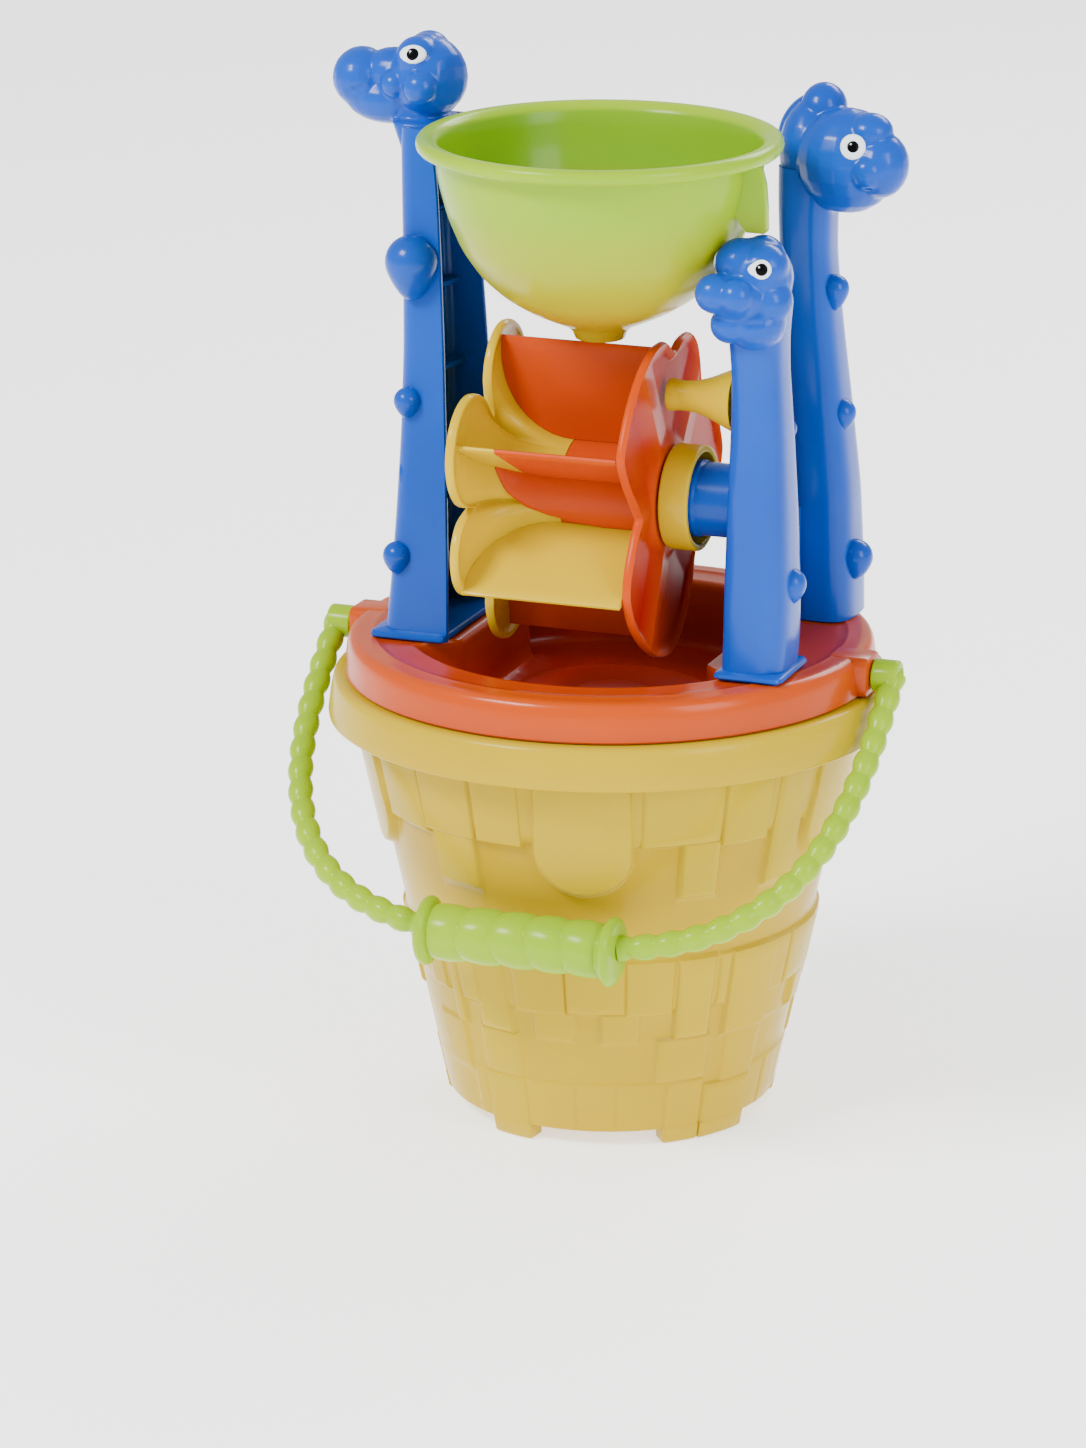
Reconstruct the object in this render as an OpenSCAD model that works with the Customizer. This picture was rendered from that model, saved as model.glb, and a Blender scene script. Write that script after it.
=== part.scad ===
// Sand wheel toy: a castle bucket, a catch tray with neck shaped supports, a paddle wheel, a funnel and a bail.
// Millimetres. Origin on the ground at the centre of the bucket, +Z up, axle along X, front towards -Y.

/* [Bucket] */
// Outer diameter of the rim
rim_d = 200; // [190:1:220]
// Height of the rim's top above the ground
bucket_h = 159; // [140:1:180]
// Outer diameter of the wall at the floor
base_d = 116; // [100:1:124]
// How far the rim stands out from the plain wall
rim_out = 8.7; // [7.7:0.1:12]
// Thickness of the bucket's wall and floor
bucket_wall = 2.4; // [1.6:0.1:3.2]
// Height of the turned-down rim band
rim_h = 15; // [8:0.5:22]
// How much the rim band draws in towards its top
rim_draft = 3; // [1:0.5:4]
// Number of feet
foot_count = 5; // [3:1:8]
// Height of the feet
foot_h = 6; // [3:0.5:10]
// Angle that one foot covers
foot_angle = 24; // [12:1:36]
// How far each tier of the castle relief stands out
relief = 1.5; // [0.6:0.1:2]
// Number of battlements round the lower tier
merlon_count = 10; // [5:1:12]
// Number of doors round the wall
door_count = 5; // [1:1:5]
// Width of a door
door_w = 36; // [20:1:40]

/* [Tray] */
// Height of the tray's ring
tray_h = 14; // [10:0.5:20]
// How far the ring's foot stands back from the bucket's rim
tray_step = 6; // [4:0.5:12]
// How much the ring draws in towards its top
tray_draft = 3; // [1:0.5:5]
// Thickness of the tray's plate, walls and floor
tray_wall = 2.2; // [1.6:0.1:3]
// Width of the ring outside the basin
ring_w = 24; // [22:1:34]
// Depth of the basin below the ring's top
basin_depth = 24; // [16:1:34]
// Half of the space between the left and right lands
basin_half = 45; // [40:1:47]
// Depth of the skirt that centres the tray in the bucket
skirt_h = 10; // [5:1:16]
// Distance from the handle's axis down to the tray's foot
pivot_drop = 7; // [6:0.5:9]
// Width of the ears that carry the handle
ear_w = 16; // [12:1:24]

/* [Supports] */
// Distance of the left support's outer face from the middle, at the foot
left_reach = 73; // [70:1:78]
// Distance of the right supports' outer faces from the middle, at the foot
right_reach = 79; // [75:1:82]
// Depth of a support along the axle, at the foot
neck_depth = 25; // [20:0.5:28]
// Depth of a support along the axle, under its head
neck_depth_top = 16; // [12:0.5:20]
// Width of the left support at the foot
left_width = 57; // [46:1:64]
// Width of the left support under its head
left_width_top = 36; // [28:1:44]
// Width of the right supports at the foot
right_width = 30; // [24:1:34]
// Width of the right supports under their heads
right_width_top = 21; // [16:1:26]
// Thickness of the supports' walls
neck_wall = 2; // [1.4:0.1:3]
// Height of the left support's neck above the tray
left_neck_h = 182; // [170:1:200]
// Height of the right front support's neck above the tray
front_neck_h = 124; // [110:1:130]
// Height of the right rear support's neck above the tray
rear_neck_h = 158; // [140:1:175]
// Place of the left support's middle along Y, at the foot
left_y = -8; // [-12:1:-4]
// Place of the right front support's middle along Y
front_y = -31; // [-34:1:-28]
// Place of the right rear support's middle along Y
rear_y = 48; // [44:1:52]
// Radius of the large head ball
head_r = 17; // [14:0.5:18]
// Radius of the scale bumps along the necks
bump_r = 5; // [3:0.5:6]
// Radius of an eye
eye_r = 4.6; // [3:0.2:5.4]
// Radius of a pupil
pupil_r = 2; // [1:0.1:2.6]

/* [Wheel] */
// Height of the axle above the ring's top
axle_rise = 57; // [54:0.5:66]
// Place of the axle along Y
axle_y = -22; // [-24:1:-19]
// Outer radius of the wheel over its lobes
wheel_r = 58; // [50:0.5:60]
// Number of paddles
paddle_count = 6; // [6:1:6]
// Turn of the first paddle from the top towards the front
paddle_turn = 4; // [0:1:59]
// Distance between the two lobed discs
wheel_w = 58; // [50:1:60]
// Place of the wheel's middle along X
wheel_x = -2; // [-4:0.5:0]
// Thickness of a lobed disc
disc_t = 2.4; // [1.6:0.1:3]
// Thickness of a paddle
paddle_t = 2; // [1.4:0.1:2.6]
// Radius that the paddles reach
paddle_r = 53; // [46:0.5:54]
// Radius of the axle pin
axle_r = 4; // [3:0.1:5]
// Outer radius of the bearing boss on the right
boss_r = 12.8; // [10:0.2:14]
// Outer radius of the cup round the right boss
cup_r = 18.4; // [17:0.1:19]
// Length of the cup along the axle
cup_l = 10.5; // [8:0.5:12]

/* [Funnel] */
// Outer diameter of the funnel's lip
lip_d = 126; // [116:1:127]
// Height of the lip's top above the ring's top
funnel_rise = 182; // [180:1:196]
// Height of the bowl from the spout to the lip
bowl_h = 60; // [52:1:62]
// Outer diameter of the spout
spout_d = 21; // [16:0.5:24]
// Length of the spout
spout_l = 9; // [6:0.5:10]
// Thickness of the funnel's wall
funnel_wall = 1.8; // [1.2:0.1:2.4]
// Thickness of the rolled lip
lip_t = 5.6; // [4:0.2:7]
// Place of the funnel's middle along X
funnel_x = 4; // [3:0.5:6]

/* [Handle] */
// How far the arms stand outside the bucket's rim
arm_out = 4.5; // [4:0.5:8]
// How much longer the bail is than the rim's radius
bail_drop = 21.5; // [20:0.5:24]
// Angle between the hanging bail and straight down
bail_angle = 49; // [49:0.5:54]
// Radius of a bead on the arms
bead_r = 4.7; // [3.6:0.1:4.8]
// Radius of the arm between the beads
arm_r = 3.4; // [2.4:0.1:3.6]
// Number of beads on one arm
bead_count = 17; // [8:1:24]
// Radius of the grip
grip_r = 10; // [8:0.5:10.2]
// Length of the grip
grip_l = 72; // [56:1:80]
// Radius of the grip's end flanges
flange_r = 12.2; // [11:0.2:12.4]
// Radius of the pins that the bail turns on
pivot_r = 3; // [2:0.1:3.6]

/* [Hidden] */
$fn = 96;

// Clearances: seat between bodies, running fit of a pin, fit of fixed pieces
seat_gap = 0.3;
run_gap = 0.08;
fix_gap = 0.05;
// Overrun that every cut reaches past the material
over = 1;

// Bucket, worked out from its rim, floor and mouth
rim_r = rim_d / 2;
base_r = base_d / 2;
mouth_r = rim_r - rim_out;
wall_slope = (mouth_r - base_r) / (bucket_h - foot_h);
rim_low = bucket_h - rim_h;
foot_turn = -18;
door_turn = 13;
tier_1_share = 0.29;
tier_2_share = 0.73;
tier_1_z = foot_h + tier_1_share * (bucket_h - foot_h);
tier_2_z = foot_h + tier_2_share * (bucket_h - foot_h);
merlon_drop = 0.1 * (bucket_h - foot_h);
door_low_z = tier_2_z - merlon_drop;
tier_end_z = bucket_h - rim_h / 2;
function wall_r(z) = base_r + wall_slope * (z - foot_h);

// Tray
tray_foot_z = bucket_h + seat_gap;
tray_top = tray_foot_z + tray_h;
tray_r = rim_r - tray_step;
basin_r = tray_r - ring_w;
basin_z = tray_top - basin_depth;
land_round = 0.2 * basin_half;
pivot_z = tray_foot_z + pivot_drop;
ear_face = tray_r + 3 * tray_wall / 2;
ear_top = pivot_z + pivot_drop;

// Wheel
axle_z = tray_top + axle_rise;
disc_left = wheel_x - wheel_w / 2;
disc_right = wheel_x + wheel_w / 2;
lobe_c = wheel_r * 0.66;
lobe_r = wheel_r - lobe_c;
flare_r = 0.82 * wheel_r;
core_r = 0.24 * wheel_r;
sleeve_r = 0.3 * wheel_r;
flare_end = disc_left + 0.45 * wheel_w;
hub_end = disc_right + disc_t + axle_r;
cup_start = disc_right + disc_t + 0.2 * cup_l;
cup_end = cup_start + cup_l;
boss_start = cup_end - 0.25 * cup_l;
spacer_end = -left_reach + neck_depth + 2 * seat_gap;

// Supports
left_inner = left_reach - neck_depth;
right_inner = right_reach - neck_depth;
left_top_reach = left_reach;
front_top_reach = right_reach - 0.2 * neck_depth;
rear_top_reach = right_reach - 0.68 * neck_depth;
left_bow = -0.16 * neck_depth;
left_top_y = left_y + 0.15 * left_width;
neck_level_shares = [0, 0.08, 0.2, 0.35, 0.5, 0.65, 0.8, 0.92, 1];
foot_t = 1.5 * neck_wall;
foot_lip = 1.5 * neck_wall;
peg_r = 2 * neck_wall;
peg_l = tray_wall + 2 * neck_wall;
left_peg_shares = [-0.32, 0.32];
plate_x = right_inner + neck_wall;

// Funnel
lip_r = lip_d / 2;
lip_top = tray_top + funnel_rise;
lip_low = lip_top - lip_t;
bowl_r = lip_r - 1.1 * lip_t;
bowl_low = lip_top - bowl_h;
spout_r = spout_d / 2;
spout_low = bowl_low - spout_l;
head_top_z = tray_top + front_neck_h + 1.75 * head_r;
lug_t = 2.5 * funnel_wall;
lug_x = right_inner + 0.5 * neck_depth;
rib_start = funnel_x + 0.88 * lip_r;

// Handle
arm_reach = rim_r + arm_out;
bail_l = rim_r + bail_drop;
arm_power = 3;
grip_half = grip_l / 2;
flange_t = 0.07 * grip_l;
arm_boss_r = 2 * pivot_r;
arm_boss_in = ear_face + seat_gap;

function mix(a, b, s) = a + (b - a) * s;

// A round solid about the axle's line: each point is [radius, place along X]
module turned_on_axle(points) {
    translate([0, axle_y, axle_z])
        rotate([0, 90, 0])
            rotate_extrude()
                polygon(points);
}

// A plain cylinder along X
module rod_x(r, x0, x1, y, z) {
    translate([x0, y, z])
        rotate([0, 90, 0])
            cylinder(r = r, h = x1 - x0);
}

// A block of the castle relief that follows the wall, rooted in it and standing out by some share of a tier
module relief_block(middle, angle, z0, z1, tiers) {
    sunk = bucket_wall / 2;
    out = tiers * relief;
    rotate([0, 0, middle - angle / 2 - 90])
        rotate_extrude(angle = angle)
            polygon([
                [wall_r(z0) - sunk, z0],
                [wall_r(z0) + out, z0],
                [wall_r(z1) + out, z1],
                [wall_r(z1) - sunk, z1]
            ]);
}

// A door: a tongue with a round lower end, cut from a thicker block
module door(turn) {
    rotate([0, 0, turn])
        intersection() {
            relief_block(0, 60, door_low_z, tier_end_z - relief, 2.3);
            union() {
                translate([0, 0, door_low_z + door_w / 2])
                    rotate([90, 0, 0])
                        cylinder(r = door_w / 2, h = rim_r);
                translate([-door_w / 2, -rim_r, door_low_z + door_w / 2])
                    cube([door_w, rim_r, bucket_h]);
            }
        }
}

module bucket() {
    pitch = 360 / merlon_count;
    color("gold") {
        rotate_extrude()
            polygon([
                [0, foot_h],
                [base_r, foot_h],
                [wall_r(tier_1_z), tier_1_z],
                [wall_r(tier_1_z) + relief, tier_1_z],
                [wall_r(tier_2_z) + relief, tier_2_z],
                [wall_r(tier_2_z) + 2 * relief, tier_2_z],
                [wall_r(tier_end_z) + 2 * relief, tier_end_z],
                [wall_r(tier_end_z), tier_end_z],
                [wall_r(bucket_h - bucket_wall), bucket_h - bucket_wall],
                [rim_r - rim_draft - bucket_wall, bucket_h - bucket_wall],
                [rim_r - bucket_wall, rim_low],
                [rim_r, rim_low],
                [rim_r - rim_draft, bucket_h],
                [mouth_r - bucket_wall, bucket_h],
                [wall_r(foot_h + bucket_wall) - bucket_wall, foot_h + bucket_wall],
                [0, foot_h + bucket_wall]
            ]);
        for (i = [0 : merlon_count - 1])
            relief_block(door_turn + i * pitch, pitch / 2,
                tier_1_z - merlon_drop, tier_1_z + relief, 0.8);
        for (i = [0 : door_count - 1]) {
            relief_block(door_turn + (i + 0.5) * 360 / door_count, pitch / 2,
                tier_2_z - merlon_drop, tier_2_z + relief, 1.8);
            door(door_turn + i * 360 / door_count);
        }
        for (i = [0 : foot_count - 1])
            rotate([0, 0, foot_turn + i * 360 / foot_count - foot_angle / 2 - 90])
                rotate_extrude(angle = foot_angle)
                    polygon([
                        [base_r - 3 * bucket_wall, 0],
                        [base_r + bucket_wall / 2, 0],
                        [base_r + bucket_wall / 2, foot_h + bucket_wall / 2],
                        [base_r - 3 * bucket_wall, foot_h + bucket_wall / 2]
                    ]);
    }
}

// Outline of the basin, grown by the thickness of its wall
module basin_outline(grow) {
    land = basin_half + grow;
    difference() {
        circle(r = basin_r + grow);
        for (side = [0, 1])
            mirror([side, 0]) {
                translate([land + land_round, -basin_r / 2])
                    square([basin_r, basin_r + land_round]);
                translate([land, -basin_r / 2 + land_round])
                    square([basin_r, basin_r - land_round]);
                translate([land + land_round, -basin_r / 2 + land_round])
                    circle(r = land_round);
                translate([land + land_round, basin_r / 2])
                    circle(r = land_round);
            }
    }
}

// Peg holes in the tray's plate, grown by a fit
module foot_pegs(fit, z0, h) {
    for (s = left_peg_shares)
        translate([-left_reach + neck_depth / 2, left_y + s * left_width, z0])
            cylinder(r = peg_r + fit, h = h);
    for (y = [front_y, rear_y])
        translate([right_reach - neck_depth / 2, y, z0])
            cylinder(r = peg_r + fit, h = h);
}

module tray() {
    skirt_low = tray_foot_z - skirt_h;
    seat_r = wall_r(tray_foot_z) - bucket_wall - 2 * seat_gap;
    skirt_r = wall_r(skirt_low) - bucket_wall - 2 * seat_gap;
    color("orangered")
        difference() {
            union() {
                difference() {
                    union() {
                        rotate_extrude()
                            polygon([
                                [skirt_r - tray_wall, skirt_low],
                                [skirt_r, skirt_low],
                                [seat_r, tray_foot_z],
                                [tray_r, tray_foot_z],
                                [tray_r - tray_draft / 3, tray_top - tray_draft],
                                [tray_r - tray_draft, tray_top],
                                [0, tray_top],
                                [0, tray_top - tray_wall],
                                [tray_r - tray_draft - tray_wall, tray_top - tray_wall],
                                [tray_r - tray_wall, tray_foot_z + tray_wall],
                                [seat_r - tray_wall, tray_foot_z + tray_wall]
                            ]);
                        for (side = [0, 1])
                            mirror([side, 0, 0])
                                translate([basin_r + 2 * land_round, -ear_w / 2, tray_foot_z])
                                    cube([ear_face - basin_r - 2 * land_round, ear_w, ear_top - tray_foot_z]);
                    }
                    translate([0, 0, basin_z])
                        linear_extrude(height = basin_depth + over)
                            basin_outline(0);
                }
                difference() {
                    translate([0, 0, basin_z - tray_wall])
                        linear_extrude(height = basin_depth + tray_wall / 2)
                            basin_outline(tray_wall);
                    translate([0, 0, basin_z])
                        linear_extrude(height = basin_depth + over)
                            basin_outline(0);
                }
            }
            rod_x(pivot_r + run_gap, -ear_face - over, -ear_face + ear_w / 2, 0, pivot_z);
            rod_x(pivot_r + run_gap, ear_face - ear_w / 2, ear_face + over, 0, pivot_z);
            foot_pegs(fix_gap, tray_top - tray_wall - over, tray_wall + 2 * over);
        }
}

// A neck drawn in towards its head: the meeting of its front outline and its side outline
// side is -1 on the left and 1 on the right, and inset shrinks it by a wall
module neck_block(side, h, reach, reach_top, bow, width, width_top, y, y_top, inset) {
    levels = [for (s = neck_level_shares) s];
    count = len(levels);
    out = [for (s = levels) mix(reach, reach_top, s) + bow * sin(180 * s) - inset];
    depth = [for (s = levels) mix(neck_depth, neck_depth_top, s)];
    half = [for (s = levels) mix(width, width_top, s) / 2 - inset];
    mid = [for (s = levels) mix(y, y_top, s)];
    z = [for (s = levels) tray_top + h * s];
    front_outline = concat(
        [for (i = [0 : count - 1]) [side * out[i], z[i]]],
        [for (i = [count - 1 : -1 : 0]) [side * (out[i] + inset - depth[i] - (inset > 0 ? over : 0)), z[i]]]
    );
    side_outline = concat(
        [for (i = [0 : count - 1]) [mid[i] - half[i], z[i]]],
        [for (i = [count - 1 : -1 : 0]) [mid[i] + half[i], z[i]]]
    );
    intersection() {
        translate([0, y + width, 0])
            rotate([90, 0, 0])
                linear_extrude(height = 3 * width)
                    polygon(front_outline);
        translate([side > 0 ? 0 : -2 * reach, 0, 0])
            rotate([90, 0, 90])
                linear_extrude(height = 2 * reach)
                    polygon(side_outline);
    }
}

// A neck as an open shell, hollow towards the wheel
module neck_shell(side, h, reach, reach_top, bow, width, width_top, y, y_top) {
    difference() {
        neck_block(side, h, reach, reach_top, bow, width, width_top, y, y_top, 0);
        translate([0, 0, -neck_wall])
            neck_block(side, h, reach, reach_top, bow, width, width_top, y, y_top, neck_wall);
    }
}

// The foot that a neck stands on, with a small lip to the front and outside
module neck_foot(side, reach, width, y) {
    x0 = side > 0 ? reach - neck_depth : -reach - foot_lip;
    translate([x0, y - width / 2 - foot_lip, tray_top])
        cube([neck_depth + foot_lip, width + foot_lip, foot_t]);
}

// Balls that make up a head, each [along the snout, across, up, share of head_r]
head_shares = [
    [0, 0, 0, 1],
    [0.75, 0, -0.1, 0.8],
    [1.25, -0.3, 0, 0.52],
    [1.25, 0.3, 0, 0.52],
    [0.25, -0.45, 0.45, 0.55],
    [0.25, 0.45, 0.45, 0.55],
    [0.85, 0, -0.45, 0.55]
];
// A turn of the front head's balls that keeps their poles and seams away from where they meet
front_ball_turn = [25, 35, 50];
// Where an eye sits on a head, in the same shares, and its lean
eye_place_shares = [0.35, 0.9, 0.55];
eye_tilt = 25;

module head_balls(turn) {
    for (ball = head_shares)
        translate([ball[0] * head_r, ball[1] * head_r, ball[2] * head_r])
            rotate(turn)
                sphere(r = ball[3] * head_r);
}

// A seat or a disc of an eye, on both sides of a head
module eye_pair(r, t, sink) {
    for (side = [-1, 1])
        translate([eye_place_shares[0] * head_r, side * eye_place_shares[1] * head_r,
                eye_place_shares[2] * head_r])
            rotate([-side * (90 - eye_tilt), 0, 0])
                translate([0, 0, -sink])
                    cylinder(r = r, h = t);
}

eye_sink = 0.25 * eye_r;
eye_t = 2 * eye_sink;
pupil_sink = 0.3 * eye_sink;

module head(turn = [0, 0, 0]) {
    difference() {
        head_balls(turn);
        eye_pair(eye_r + fix_gap, head_r, eye_sink);
    }
}

// Each head's turn and place: the snout points along X before it is turned
module at_left_head() {
    translate([-left_top_reach + 0.25 * neck_depth_top, left_top_y + 0.1 * left_width_top,
            tray_top + left_neck_h + 0.55 * head_r])
        rotate([0, 0, 180])
            children();
}

module at_front_head() {
    translate([front_top_reach - 0.4 * neck_depth_top, front_y - 0.35 * right_width_top,
            tray_top + front_neck_h + 0.65 * head_r])
        rotate([0, 0, -100])
            children();
}

module at_rear_head() {
    translate([rear_top_reach - neck_depth_top / 3, rear_y, tray_top + rear_neck_h + 0.85 * head_r])
        rotate([0, 0, -25])
            children();
}

// Space that the funnel's lip needs, from its seat upwards
module lip_space() {
    translate([funnel_x, axle_y, lip_low - seat_gap])
        cylinder(r = lip_r + 2 * seat_gap, h = lip_top);
}

module left_support() {
    boss_out = boss_r * 0.8;
    color("dodgerblue")
        difference() {
            union() {
                difference() {
                    union() {
                        neck_shell(-1, left_neck_h, left_reach, left_top_reach, left_bow,
                            left_width, left_width_top, left_y, left_top_y);
                        at_left_head()
                            head();
                    }
                    lip_space();
                }
                neck_foot(-1, left_reach, left_width, left_y);
                rod_x(boss_out, -left_reach - left_bow / 2 + neck_wall, -left_inner, axle_y, axle_z);
                translate([-left_reach + neck_wall / 2, left_top_y - left_width_top / 4,
                        lip_low - seat_gap - 2 * neck_wall])
                    cube([neck_depth_top - neck_wall / 2, left_width_top / 2, 2 * neck_wall]);
                translate([-left_reach + neck_depth_top / 2, left_y - 0.32 * left_width,
                        tray_top + 0.7 * left_neck_h])
                    sphere(r = 1.75 * bump_r);
                translate([-left_reach + neck_depth_top / 2, left_y - 0.36 * left_width,
                        tray_top + 0.46 * left_neck_h])
                    sphere(r = 0.9 * bump_r);
                translate([-left_reach + bump_r, left_y - left_width / 2 + bump_r / 2,
                        tray_top + 0.16 * left_neck_h])
                    sphere(r = bump_r);
                for (s = left_peg_shares)
                    translate([-left_reach + neck_depth / 2, left_y + s * left_width, tray_top - peg_l])
                        cylinder(r = peg_r, h = peg_l + foot_t);
            }
            rod_x(axle_r + run_gap, -left_reach + 2 * neck_wall, -left_inner + over, axle_y, axle_z);
        }
}

module right_front_support() {
    web_t = 1.5 * neck_wall;
    web_y = front_y + right_width / 2 - neck_wall;
    web_end = rear_y - right_width / 2;
    color("dodgerblue")
        difference() {
            union() {
                neck_shell(1, front_neck_h, right_reach, front_top_reach, 0,
                    right_width, right_width_top, front_y, front_y);
                at_front_head()
                    head(front_ball_turn);
                neck_foot(1, right_reach, right_width, front_y);
                translate([plate_x, front_y - right_width / 2 + 2 * neck_wall, tray_top + foot_t])
                    cube([neck_wall, right_width - 3 * neck_wall, 0.86 * front_neck_h]);
                rod_x(boss_r, boss_start, plate_x + neck_wall, axle_y, axle_z);
                rod_x(boss_r + neck_wall / 3, boss_start, boss_start + neck_wall, axle_y, axle_z);
                translate([plate_x, web_y, tray_top])
                    rotate([90, 0, 90])
                        linear_extrude(height = web_t)
                            polygon([
                                [0, 0],
                                [web_end - web_y, 0],
                                [web_end - web_y, 0.7 * axle_rise],
                                [(web_end - web_y) / 2, 0.75 * axle_rise],
                                [boss_r, axle_rise + boss_r],
                                [0, axle_rise + boss_r]
                            ]);
                translate([right_reach - bump_r / 2, front_y, tray_top + 0.27 * front_neck_h])
                    sphere(r = 1.1 * bump_r);
                translate([front_top_reach - bump_r / 3, front_y, tray_top + 0.8 * front_neck_h])
                    sphere(r = 0.6 * bump_r);
                translate([lug_x, front_y, head_top_z - head_r])
                    cylinder(r = lug_t, h = head_r);
                translate([right_reach - neck_depth / 2, front_y, tray_top - peg_l])
                    cylinder(r = peg_r, h = peg_l + foot_t);
            }
            rod_x(axle_r + run_gap, boss_start - over, plate_x - neck_wall, axle_y, axle_z);
        }
}

module right_rear_support() {
    color("dodgerblue") {
        neck_shell(1, rear_neck_h, right_reach, rear_top_reach, 0,
            right_width, right_width_top, rear_y, rear_y);
        at_rear_head()
            head();
        translate([right_reach - neck_depth, rear_y - right_width / 2, tray_top])
            cube([neck_depth, right_width, foot_t]);
        for (s = [[0.12, 1.2], [0.42, 0.95], [0.73, 0.95]])
            translate([mix(right_reach, rear_top_reach, s[0]) - bump_r / 2, rear_y,
                    tray_top + s[0] * rear_neck_h])
                sphere(r = s[1] * bump_r);
        translate([right_reach - neck_depth / 2, rear_y, tray_top - peg_l])
            cylinder(r = peg_r, h = peg_l + foot_t);
    }
}

module guide_post() {
    x0 = disc_right + disc_t + 4 * seat_gap;
    x1 = plate_x;
    narrow_r = 0.45 * boss_r;
    wide_r = 0.9 * boss_r;
    color("yellow")
        translate([0, axle_y + (front_y - axle_y) / 2, axle_z + 0.64 * wheel_r])
            rotate([0, 90, 0])
                rotate_extrude()
                    polygon([
                        [0, x0],
                        [narrow_r, x0],
                        [narrow_r, mix(x0, x1, 0.3)],
                        [mix(narrow_r, wide_r, 0.2), mix(x0, x1, 0.5)],
                        [mix(narrow_r, wide_r, 0.55), mix(x0, x1, 0.75)],
                        [wide_r, x1],
                        [0, x1]
                    ]);
}

module eye_whites() {
    color("white") {
        at_left_head()
            eye_disc();
        at_front_head()
            eye_disc();
        at_rear_head()
            eye_disc();
    }
}

module eye_disc() {
    difference() {
        eye_pair(eye_r, eye_t, eye_sink);
        eye_pair(pupil_r + fix_gap, eye_t, pupil_sink - eye_sink);
    }
}

module eye_pupils() {
    color("black") {
        at_left_head()
            eye_pair(pupil_r, eye_sink, pupil_sink - eye_sink);
        at_front_head()
            eye_pair(pupil_r, eye_sink, pupil_sink - eye_sink);
        at_rear_head()
            eye_pair(pupil_r, eye_sink, pupil_sink - eye_sink);
    }
}

// Lobed outline of a wheel disc, with one lobe at each paddle
module lobed_outline() {
    circle(r = lobe_c * 0.9);
    for (i = [0 : paddle_count - 1])
        rotate(paddle_turn + i * 360 / paddle_count)
            translate([0, lobe_c])
                circle(r = lobe_r);
}

// Lays an outline square to the axle, from x0 on, with its Y up
module across_axle(x0, t) {
    translate([x0, axle_y, axle_z])
        rotate([90, 0, 90])
            linear_extrude(height = t)
                children();
}

// Concave flare from the left disc to the core, as [radius, place along X]
flare_steps = 8;
function flare_point(s, grow) = [
    flare_r + grow - (flare_r - sleeve_r) * sin(90 * s),
    flare_end + grow / 2 - (flare_end - disc_left) * cos(90 * s)
];
function flare_curve(grow) = [for (i = [0 : flare_steps]) flare_point(i / flare_steps, grow)];

module wheel_left_disc() {
    outer = flare_curve(0);
    inner = [for (i = [flare_steps : -1 : 0]) flare_point(i / flare_steps, -disc_t)];
    color("gold")
        difference() {
            union() {
                difference() {
                    across_axle(disc_left - disc_t, disc_t)
                        lobed_outline();
                    rod_x(flare_r - disc_t, disc_left - disc_t - over, disc_left + over, axle_y, axle_z);
                }
                turned_on_axle(concat(
                    [[flare_r, disc_left - disc_t]],
                    outer,
                    [[core_r, flare_end], [core_r, hub_end], [0, hub_end], [0, spacer_end],
                        [core_r * 0.7, spacer_end], [core_r * 0.7, flare_end - disc_t]],
                    inner,
                    [[flare_r - disc_t, disc_left - disc_t]]
                ));
                paddle_blade(1, disc_left, disc_left + 0.24 * wheel_w, 0);
            }
            rod_x(axle_r + fix_gap, disc_left - wheel_w, hub_end + over, axle_y, axle_z);
        }
}

module wheel_right_disc() {
    color("orange")
        difference() {
            union() {
                across_axle(disc_right, disc_t)
                    lobed_outline();
                turned_on_axle([
                    [0, flare_end + fix_gap],
                    [sleeve_r, flare_end + fix_gap],
                    [sleeve_r, disc_right + disc_t / 2],
                    [0, disc_right + disc_t / 2]
                ]);
                for (i = [0 : paddle_count - 1])
                    translate([0, axle_y, axle_z])
                        rotate([paddle_turn + i * 360 / paddle_count, 0, 0])
                            translate([disc_right + disc_t / 2, -paddle_t / 2, sleeve_r])
                                cube([disc_t, paddle_t, lobe_c - sleeve_r + lobe_r / 2]);
            }
            rod_x(core_r + fix_gap, flare_end - over, hub_end + over, axle_y, axle_z);
        }
}

// One blade between x0 and x1, cut to the flare when hug is 1
module paddle_blade(index, x0, x1, hug) {
    turn = paddle_turn + index * 360 / paddle_count;
    inner = sleeve_r + fix_gap;
    translate([0, axle_y, axle_z])
        rotate([turn, 0, 0])
            translate([0, paddle_t / 2, 0])
                rotate([90, 0, 0])
                    linear_extrude(height = paddle_t)
                        difference() {
                            translate([x0, inner])
                                square([x1 - x0, paddle_r - inner]);
                            if (hug == 1)
                                polygon(concat(
                                    [[disc_left - over, 0], [disc_left - over, flare_r + fix_gap]],
                                    [for (p = flare_curve(fix_gap)) [p[1], p[0]]],
                                    [[flare_end + fix_gap, 0]]
                                ));
                        }
}

module retaining_cup() {
    color("yellow")
        turned_on_axle([
            [core_r + fix_gap, cup_start],
            [cup_r, cup_start],
            [cup_r, cup_end],
            [cup_r - disc_t, cup_end],
            [cup_r - disc_t, cup_start + disc_t],
            [core_r + fix_gap, cup_start + disc_t]
        ]);
}

module wheel_axle() {
    color("white")
        rod_x(axle_r, -left_reach + 3 * neck_wall, plate_x - 2 * neck_wall, axle_y, axle_z);
}

module paddle(index, x0, tint) {
    color(tint)
        paddle_blade(index, x0, disc_right, 1);
}

module paddle_1() { paddle(0, disc_left, "orangered"); }
module paddle_2() { paddle(1, disc_left + 0.24 * wheel_w, "orangered"); }
module paddle_3() { paddle(2, disc_left, "gold"); }
module paddle_4() { paddle(3, disc_left, "orangered"); }
module paddle_5() { paddle(4, disc_left, "orangered"); }
module paddle_6() { paddle(5, disc_left, "gold"); }

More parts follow.
